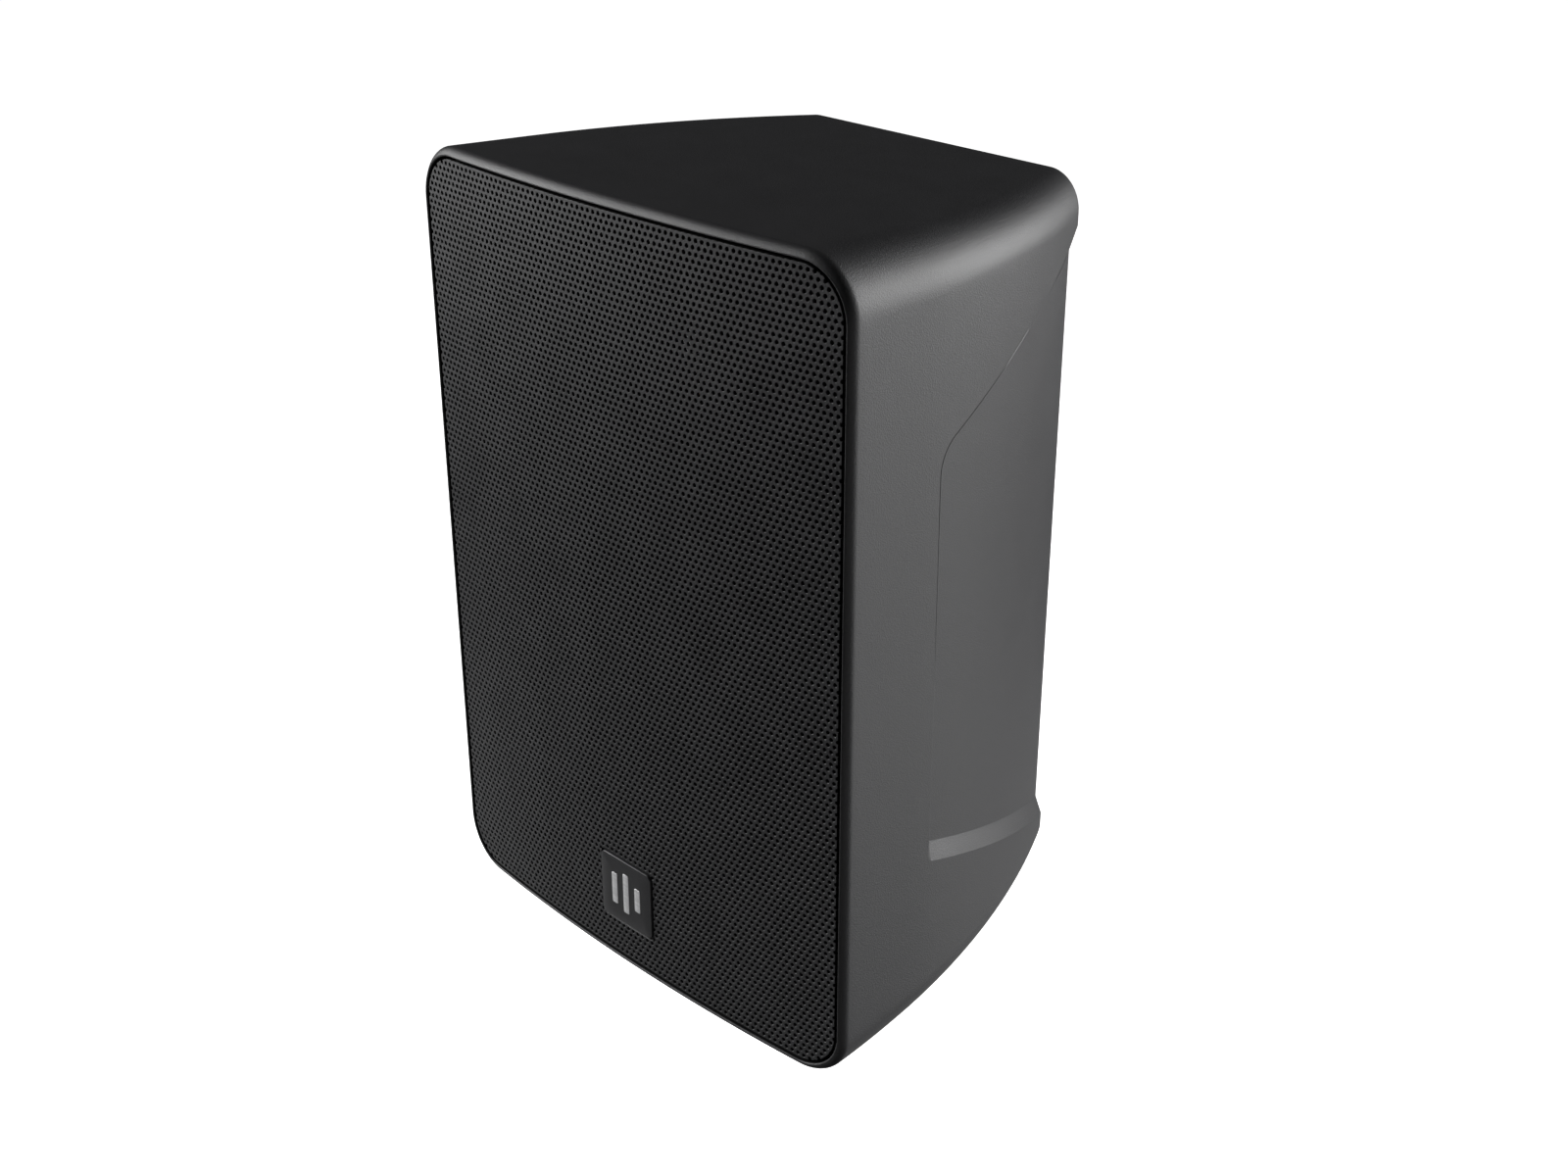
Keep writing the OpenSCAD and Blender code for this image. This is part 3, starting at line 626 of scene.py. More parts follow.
def faces_of(thing):
    """The centres, in millimetres, and the normals of the faces."""
    faces = thing.data.polygons
    centres, normals = np.zeros(3 * len(faces)), np.zeros(3 * len(faces))
    faces.foreach_get("center", centres)
    faces.foreach_get("normal", normals)
    return centres.reshape(-1, 3) / MM, normals.reshape(-1, 3)


def repaint(thing, material, chosen):
    """Gives the chosen faces a second material."""
    thing.data.materials.append(material)
    thing.data.polygons.foreach_set("material_index", chosen.astype(int))


def cabinet():
    piece = Piece()
    back_shares, back_deep = side_places_at_back()
    front, back = round_places(FRONT_SIDES), round_places(back_shares)
    side_wall(piece, back_shares, back_deep)

    # The rounded lip, the edge of the opening and the opening's wall
    rings = [lip_ring(front, turn) for turn in np.linspace(0, LIP_TURN, 11)]
    for out, fall in fillet(LIP_EDGE, 4):
        x, z = rectangle_at(front, POCKET_W + 2 * out, POCKET_H + 2 * out, POCKET_R + out)
        rings.append(np.column_stack([x, bow(x) + fall, z]))
    for w, h, r, y in [(POCKET_W, POCKET_H, POCKET_R, BAFFLE_Y), (WIDTH - 8, HEIGHT - 9, 15, BAFFLE_Y),
                       (WIDTH - 8, HEIGHT - 9, 15, BAFFLE_BACK + 1.5),
                       (WIDTH - 20, HEIGHT - 21, 11.5, BAFFLE_BACK + 1.5),
                       (WIDTH - 20, HEIGHT - 21, 11.5, BAFFLE_BACK + 6.5)]:
        x, z = rectangle_at(front, w, h, r)
        rings.append(level_ring(x, z, y))
    back_inner = DEPTH - BACK_WALL
    for y in (BAFFLE_BACK + 6.6, 30, 45, 60, 75, 90, 105, 120, 132, back_inner):
        x, z = outline_at(front, y, 6.5, 3.2)
        rings.append(level_ring(x, z, y))
    piece.loft(rings)
    inner_line = [(p[0], p[2]) for p in rings[-1]]

    # The top and bottom, with their rounded corners
    caps = (front[:, 1] == 1) & (front[:, 3] >= 0), (front[:, 1] == 0) & (front[:, 3] <= 0)
    for cap in caps:
        places = front[cap]
        if places[0, 3] <= 0 and places[-1, 2] > 0 and places[0, 2] > 0:
            places = np.roll(places, -1, axis=0)
        start = lip_ring(places, 0)[:, 1]
        strip = []
        for share in STATIONS:
            y = start + (BACK_Y - start) * share
            x, z = outline_at(places, y)
            strip.append(np.column_stack([x, y, z]))
        piece.loft(strip, closed=False)

    # The rear edge and the back, with the terminals' opening and the inserts' bores
    deep = np.zeros(len(back))
    on_side = (back[:, 3] == 0)
    order = {round(float(g), 9): d for g, d in zip(back_shares, back_deep)}
    deep[on_side] = [order.get(round(float(g), 9), 0.0) for g in back[on_side, 1]]
    rings = []
    for inset, fall in reversed(fillet(BACK_EDGE, 4)):
        x, z = outline_at(back, DEPTH - fall, inset, inset)
        x = x - np.sign(x) * RECESS_DEPTH * deep
        rings.append(level_ring(x, z, DEPTH - fall))
    piece.loft(rings)
    outer_line = [(p[0], p[2]) for p in rings[-1]]
    pocket, opening = panel(79, 65, 6, 0, CUP_Z), panel(67, 53, 5, 0, CUP_Z)
    bores = [circle(4.05, 0, z, 32) for z in (INSERT_Z, -INSERT_Z)]
    bosses = [circle(8, 0, z, 32) for z in (INSERT_Z, -INSERT_Z)]
    rims = [circle(4.45, 0, z, 32) for z in (INSERT_Z, -INSERT_Z)]
    piece.flat([outer_line, panel(79.8, 65.8, 6.4, 0, CUP_Z)] + rims, DEPTH)
    piece.walls([(panel(79.8, 65.8, 6.4, 0, CUP_Z), DEPTH), (pocket, DEPTH - 0.4), (pocket, DEPTH - 3.2),
                 (opening, DEPTH - 3.2), (opening, back_inner)])
    for rim, bore, boss in zip(rims, bores, bosses):
        piece.walls([(rim, DEPTH), (bore, DEPTH - 0.4), (bore, DEPTH - 13.5)])
        piece.flat([bore], DEPTH - 13.5)
        piece.walls([(boss, back_inner), (boss, back_inner - 14)])
        piece.flat([boss], back_inner - 14)
    piece.flat([inner_line, opening] + bosses, back_inner)
    shell = piece.make("cabinet_shell", "shell_plastic", "cabinet", ["rear_shell"], sharp=40)
    # Painted shade: the faces of the opening's wall, inside the pocket's edge, take the near-black, dull copy
    # of the plastic
    pocket_edge = panel(POCKET_W + 0.1, POCKET_H + 0.1, POCKET_R + 0.05, steps=20)
    centres, _ = faces_of(shell)
    in_front = centres[:, 1] < BAFFLE_BACK + 7 - DEPTH
    repaint(shell, MATERIALS["pocket_painted_shade"], in_front & inside(centres[:, [0, 2]], pocket_edge))


cabinet()


# ---------------------------------------------------------------- grille

PITCH = 2.5
ROW = 2.13
HOLE_R = 0.85
HOLE_SIDES = 8
HOLE_BEVEL = 0.13
SHEET_T = 1.0
SHEET_Y = 0.4
STRIPS = 4
BADGE_OPENING = 27.6

# A cell of the hole pattern is a pair of whole numbers, both odd or both even: half pitches across, rows up
CELL = np.array([PITCH / 2, ROW])
NEIGHBOURS = [(1, 1), (-1, 1), (-2, 0), (-1, -1), (1, -1), (2, 0)]


def cell_outline():
    """The six corners round a cell, starting at the upper right, anticlockwise."""
    peak = (PITCH ** 2 / 4 + ROW ** 2) / (2 * ROW)
    shoulder = ROW - peak
    half = PITCH / 2
    return np.array([(half, shoulder), (0, peak), (-half, shoulder), (-half, -shoulder), (0, -peak),
                     (half, -shoulder)])


def cells_over(w, h):
    across, up = int(w / PITCH) + 3, int(h / 2 / ROW) + 3
    return np.array([(a, j) for j in range(-up, up + 1)
                     for a in range(-across, across + 1) if (a + j) % 2 == 0])


def cell_of(points):
    """The cell that each point lies in."""
    best = np.zeros((len(points), 2), int)
    gap = np.full(len(points), 1e9)
    low = np.floor(points[:, 1] / ROW).astype(int)
    for j in (low, low + 1):
        odd = np.mod(j, 2)
        a = 2 * np.round((points[:, 0] / CELL[0] - odd) / 2).astype(int) + odd
        cell = np.column_stack([a, j])
        distance = np.linalg.norm(points - cell * CELL, axis=1)
        best[distance < gap] = cell[distance < gap]
        gap = np.minimum(gap, distance)
    return best


def in_hole(points, cells):
    """Whether each point lies in the hole of its cell."""
    offset = points - cells * CELL
    sector = math.pi / HOLE_SIDES
    turn = np.mod(np.arctan2(offset[:, 1], offset[:, 0]), 2 * sector) - sector
    return np.linalg.norm(offset, axis=1) * np.cos(turn) < HOLE_R * math.cos(sector)


def sheet_pattern(outline, cut_out, cells):
    """The sheet's metal as flat corners and triangles: whole cells from a template, then the edges."""
    hexagon, hole = cell_outline(), np.array(circle(HOLE_R, steps=HOLE_SIDES))
    corners = (cells * CELL)[:, None] + hexagon * 1.001
    whole = inside(corners.reshape(-1, 2), outline).reshape(-1, 6).all(1)
    clear = np.abs(cells * CELL - (0, BADGE_Z)).max(1) > BADGE_OPENING / 2 + PITCH
    kept = cells[whole & clear]
    template, cell_tris, _ = triangles([tuple(p) for p in np.vstack([hexagon, hole])],
                                       loop_edges(0, 6) + loop_edges(6, HOLE_SIDES))
    cell_tris = cell_tris[~inside(template[cell_tris].mean(1), hole)]
    corners = ((kept * CELL)[:, None] + template).reshape(-1, 2)
    tris = (np.arange(len(kept))[:, None, None] * len(template) + cell_tris).reshape(-1, 3)

    points = list(outline) + cut_out
    edges = loop_edges(0, len(outline)) + loop_edges(len(outline), len(cut_out))
    for cell in cells[~(whole & clear)]:
        edges += loop_edges(len(points), HOLE_SIDES)
        points += [tuple(p) for p in cell * CELL + hole]
    whole_cells = {tuple(c) for c in kept}
    for cell in kept:
        for k, step in enumerate(NEIGHBOURS):
            if tuple(cell + step) not in whole_cells:
                edges.append((len(points), len(points) + 1))
                points += [tuple(cell * CELL + hexagon[k]), tuple(cell * CELL + hexagon[(k + 1) % 6])]
    places, edge_tris, _ = triangles(points, edges)
    middles = places[edge_tris].mean(1)
    owners = cell_of(middles)
    keep = inside(middles, outline) & ~inside(middles, cut_out) & ~in_hole(middles, owners)
    keep &= np.array([tuple(c) not in whole_cells for c in owners])
    tris = np.vstack([tris, edge_tris[keep] + len(corners)])
    merged, index = np.unique(np.round(np.vstack([corners, places]), 3), axis=0, return_inverse=True)
    tris = index.reshape(-1)[tris]
    distinct = (tris[:, 0] != tris[:, 1]) & (tris[:, 1] != tris[:, 2]) & (tris[:, 2] != tris[:, 0])
    return merged, tris[distinct]


def grille_sheet():
    w, h = POCKET_W - 2 * GRILLE_GAP, POCKET_H - 2 * GRILLE_GAP
    r = POCKET_R - GRILLE_GAP
    outline = panel(w, h, r, steps=20)
    cut_out = panel(BADGE_OPENING, BADGE_OPENING, 2.6, 0, BADGE_Z)
    corners, tris = sheet_pattern(outline, cut_out, cells_over(w, h))
    inward = away_from_metal(corners, tris) * HOLE_BEVEL
    heights = corners[tris][:, :, 1].mean(1)
    for k in range(STRIPS):
        low, high = -h / 2 + h * k / STRIPS, -h / 2 + h * (k + 1) / STRIPS
        low = -1e9 if k == 0 else low
        high = 1e9 if k == STRIPS - 1 else high
        sheet = grille_strip(k, corners, inward, tris[(heights >= low) & (heights < high)])
        darken_edge(sheet, panel(w - 0.5, h - 0.5, r - 0.25, steps=20))


def rim_edges(tris):
    """The edges that only one triangle has, in its direction."""
    sides = np.vstack([tris[:, [0, 1]], tris[:, [1, 2]], tris[:, [2, 0]]])
    _, where, count = np.unique(np.sort(sides, axis=1), axis=0, return_index=True, return_counts=True)
    return sides[where[count == 1]]


def away_from_metal(corners, tris):
    """At each corner on a rim, the direction out of the metal, and zero elsewhere."""
    rim = rim_edges(tris)
    along = corners[rim[:, 1]] - corners[rim[:, 0]]
    out = np.column_stack([along[:, 1], -along[:, 0]]) / np.linalg.norm(along, axis=1)[:, None]
    turn = np.cross(corners[tris[0, 1]] - corners[tris[0, 0]], corners[tris[0, 2]] - corners[tris[0, 0]])
    total = np.zeros_like(corners)
    for end in (0, 1):
        np.add.at(total, rim[:, end], out * np.sign(turn))
    return total / np.maximum(np.linalg.norm(total, axis=1), 1e-9)[:, None]


def grille_strip(k, corners, inward, tris):
    """A strip of the sheet, with a small bevel round each hole."""
    used, tris = np.unique(tris, return_inverse=True)
    tris = tris.reshape(-1, 3)
    flat, moved = corners[used], corners[used] + inward[used]
    rim = rim_edges(tris)
    on_rim = np.unique(rim)
    n = len(flat)
    ring_of = np.zeros(n, int)
    ring_of[on_rim] = 2 * n + np.arange(len(on_rim))

    def placed(xz, depth):
        return np.column_stack([xz[:, 0] * (1 - depth / BOW_R), SHEET_Y + bow(xz[:, 0]) + depth, xz[:, 1]])

    bevel = np.column_stack([rim[:, 0], rim[:, 1], ring_of[rim[:, 1]], ring_of[rim[:, 0]]])
    walls = np.column_stack([ring_of[rim[:, 0]], ring_of[rim[:, 1]], rim[:, 1] + n, rim[:, 0] + n])
    strip = Piece()
    strip.points = np.vstack([placed(flat, 0), placed(moved, SHEET_T),
                              placed(moved[on_rim], HOLE_BEVEL)]).tolist()
    strip.faces = tris.tolist() + (tris[:, ::-1] + n).tolist() + bevel.tolist() + walls.tolist()
    return strip.make(f"grille_sheet_{k + 1}", "grille_steel", "grille_panel",
                      stands_for("grille", k), sharp=30, weld=0.0001)


def darken_edge(sheet, inner):
    """The thin cut edge of the sheet outside the inner outline carries painted shade: the near-black, dull
    copy of the grille's paint.
    """
    centres, normals = faces_of(sheet)
    outside = ~inside(centres[:, [0, 2]], inner)
    repaint(sheet, MATERIALS["grille_edge_painted_shade"], outside & (np.abs(normals[:, 1]) < 0.5))


def grille_flange():
    """The turned-back edge behind the sheet, in painted shade: the near-black, dull copy of the grille's
    paint.
    """
    w, h = POCKET_W - 2 * GRILLE_GAP, POCKET_H - 2 * GRILLE_GAP
    r = POCKET_R - GRILLE_GAP
    places = round_places(np.linspace(0, 1, 31))
    rings = []
    for inset, y, bowed in [(2.0, SHEET_Y + SHEET_T, True), (1.45, SHEET_Y + SHEET_T + 0.1, True),
                            (1.2, SHEET_Y + SHEET_T + 0.45, True), (1.2, GRILLE_BACK - 0.2, False),
                            (1.35, GRILLE_BACK, False), (1.95, GRILLE_BACK, False),
                            (2.1, GRILLE_BACK - 0.2, False),
                            (2.1, SHEET_Y + SHEET_T + 0.3, True), (2.0, SHEET_Y + SHEET_T, True)]:
        x, z = rectangle_at(places, w - 2 * inset, h - 2 * inset, r - inset)
        depth = bow(x) + y if bowed else np.full(len(x), y)
        rings.append(np.column_stack([x, depth, z]))
    piece = Piece()
    piece.loft(rings)
    piece.make("grille_flange", "grille_edge_painted_shade", "grille_panel", sharp=40, slot="grille_steel")


grille_sheet()
grille_flange()


# ---------------------------------------------------------------- badge

def badge():
    w, edge = 26.1, 0.3
    plate = Piece()

    def line(inset):
        return panel(w - 2 * inset, w - 2 * inset, 2.3 - inset, 0, BADGE_Z)

    front = -0.1
    bars = [panel(3.0, 16 - 5 * abs(i) - 1.5 * i, 0.5, 6 * i, BADGE_Z, 4) for i in (-1, 0, 1)]
    plate.flat([line(edge)] + bars, front)
    plate.walls(rounded_walls(line, front, 1.6, edge))
    for bar in bars:
        plate.walls([(bar, front), (bar, front + 0.25)])
        plate.flat([bar], front + 0.25)
    wide = panel(31.4, 31.4, 2.3, 0, BADGE_Z)
    plate.flat([wide, line(0)], 1.65)
    plate.walls([(line(0), 1.6), (line(0), 1.65)])
    plate.walls([(wide, 1.65), (wide, 2.6)])
    plate.flat([wide], 2.6)
    plate.make("badge_plate", "badge_lacquer", "grille_panel", ["badge_plate"])
    mark = Piece()
    for i in (-1, 0, 1):
        def bar(inset):
            return panel(2.9 - 2 * inset, 15.9 - 5 * abs(i) - 1.5 * i - 2 * inset, 0.45, 6 * i, BADGE_Z, 4)
        mark.flat([bar(0.15)], front - 0.12)
        mark.walls(rounded_walls(bar, front - 0.12, front + 0.2, 0.15))
        mark.flat([bar(0)], front + 0.2)
    mark.make("badge_mark", "badge_silver", "grille_panel", ["badge_mark"])


badge()


# ---------------------------------------------------------------- baffle

SCREW_X, SCREW_Z = 76.0, 95.5
HORN_MOUTH = (139.3, 86.1)
THROAT = 34.0
PORT = [(47.0, 26.0), (70.5, 25.4), (70.2, 7.2)]
PORT_END = 52.0
COLLAR_Y = 20.0


def mirrored(points):
    return [(-x, z) for x, z in reversed(points)]


def port(grow):
    """The three-cornered port's outline, grown outwards."""
    corners = []
    for i, p in enumerate(PORT):
        last, here, after = Vector(PORT[i - 1]), Vector(p), Vector(PORT[(i + 1) % 3])
        u, v = (here - last).normalized(), (here - after).normalized()
        away = (u + v).normalized()
        half = u.angle(v) / 2
        corners.append(tuple(here + away * (grow / math.sin(half))))
    return soften(corners, max(0.6, 1.6 + grow), 6)


def horn_ring(share, y, grow=0.0):
    places = round_places(np.linspace(0, 1, 25))
    w = HORN_MOUTH[0] + (THROAT - HORN_MOUTH[0]) * share + 2 * grow
    h = HORN_MOUTH[1] + (THROAT - HORN_MOUTH[1]) * share + 2 * grow
    x, z = rectangle_at(places, w, h, 6 + (THROAT / 2 - 6) * share + grow)
    return np.column_stack([x, np.full(len(x), y), z + TWEETER_Z])


def flat_line(ring):
    return [(p[0], p[2]) for p in ring]


def baffle():
    piece = Piece()
    edge, roll = 0.6, 1.2
    w, h, r = WIDTH - 8.6, HEIGHT - 9.6, POCKET_R - 1.8

    def outer(inset):
        return panel(w - 2 * inset, h - 2 * inset, r - inset, steps=10)

    ports = [port(0.8), mirrored(port(0.8))]
    mouth = horn_ring(0, BAFFLE_Y, roll)
    piece.flat([outer(edge), circle(61.2, 0, WOOFER_Z, 96), flat_line(mouth)] + ports, BAFFLE_Y)
    piece.walls(rounded_walls(outer, BAFFLE_Y, BAFFLE_BACK, edge))

    # The woofer's opening, with its collar behind the plate
    steps = [(61.2 - roll * math.sin(a), BAFFLE_Y + roll * (1 - math.cos(a)))
             for a in np.linspace(0, math.pi / 2, 6)]
    piece.turned(steps + [(54.4, COLLAR_Y - 0.4), (54.8, COLLAR_Y), (65.4, COLLAR_Y), (66, COLLAR_Y - 0.5),
                          (66, BAFFLE_BACK)], 0, WOOFER_Z, 96)

    # The horn, from its rolled mouth to the throat, and round the outside to the tweeter's pad
    rings = [horn_ring(0, BAFFLE_Y + roll * (1 - math.cos(a)), roll * (1 - math.sin(a)))
             for a in np.linspace(0, math.pi / 2, 6)]
    depth = TWEETER_Y - 3 - BAFFLE_Y
    rings += [horn_ring(t, BAFFLE_Y + depth * t) for t in np.linspace(0, 1, 13)[1:]]
    rings += [horn_ring(1, TWEETER_Y - 3, g) for g in (-1.4, -2)]
    rings += [horn_ring(1, TWEETER_Y, g) for g in (-2, 12.4)]
    rings += [horn_ring(1, TWEETER_Y - 0.6, 13), horn_ring(1, TWEETER_Y - 6, 13)]
    outside = [horn_ring(t, BAFFLE_Y + 1 + (depth - 1) * t, 1.3) for t in (0.7, 0.4, 0.15)]
    back = horn_ring(0.15, BAFFLE_BACK, 1.3)
    piece.loft(rings + outside + [back])

    for side in (1, -1):
        lines = [port(0.8), port(0.15), port(0), port(0), port(0.3), port(1.9), port(2.2), port(2.2)]
        depths = [BAFFLE_Y, BAFFLE_Y + 0.25, BAFFLE_Y + 1, PORT_END - 0.4,
                  PORT_END, PORT_END, PORT_END - 0.4, BAFFLE_BACK]
        piece.walls([(line if side > 0 else mirrored(line), y) for line, y in zip(lines, depths)])
    back_ports = [port(2.2), mirrored(port(2.2))]
    piece.flat([outer(0), circle(66, 0, WOOFER_Z, 96), flat_line(back)] + back_ports, BAFFLE_BACK)
    piece.make("baffle", "inner_plastic", "cabinet", ["front_baffle"])


def screw(piece, x, z, y, head_r, head_h, shank_r, end, way=1, countersunk=False):
    """A cross-head screw with the top of its head at y. way is 1 if it points backwards, or -1."""
    arm, reach, bite = head_r * 0.14, head_r * 0.52, min(1.1, head_h * 0.55)

    def cross(scale):
        a, b = arm * scale, reach * scale
        corners = [(b, a), (a, a), (a, b), (-a, b), (-a, a), (-b, a), (-b, -a), (-a, -a), (-a, -b), (a, -b),
                   (a, -a), (b, -a)]
        return [(x + px, z + pz) for px, pz in corners]

    top = 0.94 if countersunk else 0.72
    piece.flat([circle(head_r * top, x, z), cross(1)], y)
    piece.walls([(cross(1), y), (cross(0.72), y + way * bite)])
    piece.flat([cross(0.72)], y + way * bite)
    if countersunk:
        profile = [(head_r * top, 0), (head_r, 0.12), (head_r, 0.25), (shank_r, head_h)]
    else:
        profile = [(head_r * top, 0), (head_r * 0.9, head_h * 0.16), (head_r * 0.99, head_h * 0.42),
                   (head_r, head_h * 0.6), (head_r, head_h * 0.94), (head_r * 0.96, head_h),
                   (shank_r, head_h)]
    turns = int((abs(end - y) - head_h - 1) / 0.8)
    for k in range(turns):
        at = head_h + 0.4 + 0.8 * k
        profile += [(shank_r * 0.8, at), (shank_r, at + 0.4)]
    profile += [(shank_r * 0.8, head_h + 0.4 + 0.8 * turns), (0.15, abs(end - y))]
    piece.turned([(r, y + way * d) for r, d in profile], x, z, 48)


def four_corners(x, z):
    return [(sx * x, sz * z) for sx in (1, -1) for sz in (1, -1)]


def baffle_screws():
    for k, (x, z) in enumerate(four_corners(SCREW_X, SCREW_Z)):
        piece = Piece()
        screw(piece, x, z, BAFFLE_Y - 2.2, 3.5, 2.2, 1.5, BAFFLE_Y + 24)
        piece.make(f"baffle_screw_{k + 1}", "screw_zinc", "cabinet", stands_for("baffle_screws", k))


def foam_strip():
    """The soft strip between the baffle and the grille's turned edge."""
    places = round_places(np.linspace(0, 1, 61))
    w, h, r = POCKET_W - 2 * GRILLE_GAP - 3, POCKET_H - 2 * GRILLE_GAP - 3, POCKET_R - GRILLE_GAP - 1.5
    section = [(0.15, 10.5), (0.0, 9.6), (0.1, 8.3), (0.7, 7.5), (1.5, 7.2), (2.3, 7.5), (2.9, 8.3),
               (3.0, 9.6), (2.85, 10.5), (0.15, 10.5)]
    piece = Piece()
    rings = []
    for inset, y in section:
        x, z = rectangle_at(places, w - 2 * inset, h - 2 * inset, r - inset)
        ripple = 0.12 * np.sin(np.arange(len(x)) * 2.4 + inset) * (y < 9)
        rings.append(np.column_stack([x, y + np.abs(ripple), z]))
    piece.loft(rings)
    piece.make("foam_strip", "foam", "cabinet", ["grille_foam_strip"], sharp=70)


baffle()
baffle_screws()
foam_strip()


# ---------------------------------------------------------------- drivers

def arc(cx, cy, r, start, end, steps=16):
    return [(cx + r * math.cos(math.radians(a)), cy + r * math.sin(math.radians(a)))
            for a in np.linspace(start, end, steps + 1)]


def closed_ring(name, profile, z, material, body, steps=96):
    piece = Piece()
    piece.turned(profile, 0, z, steps, closed=True)
    piece.make(name, material, body, [name], 40)


SURROUND_PARTS = 16
SURROUND_MOVING_R = 43.9
SURROUND_FIXED_R = 53.4


def woofer_surround():
    """The rubber roll, in sectors, each left free with no body."""
    roll = [(42.6, 21.5), (43.3, 21.4)] + arc(48.5, 22.1, 4.9, 180, 360, 24) + [(53.8, 21.35), (57.2, 21.35)]
    under = [(57.2, 22.15), (53.2, 22.15)] + arc(48.5, 22.1, 4.2, 360, 180, 24) + [(43.9, 24.9), (42.6, 25.0)]
    profile = roll + under
    steps = 8
    for k in range(SURROUND_PARTS):
        turns = [2 * math.pi * (k + i / steps) / SURROUND_PARTS for i in range(steps + 1)]
        piece = Piece()
        rows = piece.loft([[(r * math.cos(a), y, WOOFER_Z + r * math.sin(a)) for r, y in profile]
                           for a in turns])
        cap(piece, rows[0], profile)
        cap(piece, rows[-1], profile)
        made = piece.make(f"woofer_surround_{k + 1}", "rubber", None,
                          stands_for("woofer_surround", k), 40)
        middle = turns[steps // 2]
        start, end = [(r * MM * math.cos(middle), 0, (WOOFER_Z + r * math.sin(middle)) * MM)
                      for r in (SURROUND_MOVING_R, SURROUND_FIXED_R)]
        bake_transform(made)
        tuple(start)
        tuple(end)


def woofer():
    out = [(12.85, 45.5), (18, 41.4), (30, 32.6), (44, 25.2)]
    back = [(44, 26.2), (30, 33.7), (18, 42.6), (12.85, 46.7)]

    def along(line, steps, ribs=0.0):
        x, y = zip(*line)
        length = np.concatenate([[0], np.cumsum(np.hypot(np.diff(x), np.diff(y)))])
        at = np.linspace(0, length[-1], steps)
        wave = ribs * np.clip(np.sin(at / length[-1] * 5 * 2 * math.pi), 0, 1) ** 2
        return list(zip(np.interp(at, length, x), np.interp(at, length, y) + wave))

    closed_ring("woofer_cone", along(out, 70, 0.35) + along(back, 12), WOOFER_Z,
                "cone_paper", "woofer_diaphragm", 120)
    dust_cap = Piece()
    outer = [(21.5 * math.sin(a), 52.9 - 21.5 * math.cos(a)) for a in np.linspace(0.01, math.radians(57), 18)]
    inner = [(20.9 * math.sin(a), 52.9 - 20.9 * math.cos(a)) for a in np.linspace(math.radians(56), 0.01, 12)]
    dust_cap.turned(outer + inner, 0, WOOFER_Z, 72)
    dust_cap.make("woofer_dust_cap", "cone_paper", "woofer_diaphragm", ["woofer_dust_cap"], 50)


def tweeter():
    cy = TWEETER_Y + 15.6
    reach = math.asin(12.4 / 18.1)
    outer = [(18.1 * math.sin(a), cy - 18.1 * math.cos(a)) for a in np.linspace(0.01, reach, 16)]
    inner = [(17.8 * math.sin(a), cy - 17.8 * math.cos(a)) for a in np.linspace(reach, 0.01, 10)]
    dome = Piece()
    dome.turned(outer + inner, 0, TWEETER_Z, 72)
    dome.make("tweeter_dome", "dome_metal", "tweeter_diaphragm", ["tweeter_dome"], 50)
    y = TWEETER_Y + 2.8
    profile = arc(14.6, y, 1.7, 180, 346, 14) + [(18.4, TWEETER_Y + 2.4), (18.4, y), (16.1, y)]
    profile += arc(14.6, y, 1.4, 350, 180, 12)
    closed_ring("tweeter_surround", profile, TWEETER_Z, "rubber", "cabinet")


woofer()
woofer_surround()
tweeter()


# ---------------------------------------------------------------- terminals, selector and inserts

CUP_W, CUP_H = 66.0, 52.0
CUP_FLOOR = DEPTH - 22
CUP_SCREW = (34.6, 27.6)
KNOB_X = 16.0
BUSH_BORE_R, BUSH_TOP, BUSH_BACK = 3.05, 129.5, 108
KNOB_TOP, KNOB_UNDER, STEM_END = 141.0, 130, 113
LEVER_XS = (-23.0, -9.0)
LEVER_Y, LEVER_Z = 127.0, CUP_Z + 6
BLOCK = (-31.0, -1.0, -12.0, 12.0)
BLOCK_FRONT, BLOCK_FLOOR, BLOCK_BACK = 132, 121, 114
LEVER_ROOM = 4.5
WIRE_R, WIRE_FUNNEL_R, WIRE_DROP, WIRE_END = 1.6, 2.6, 6.5, 118


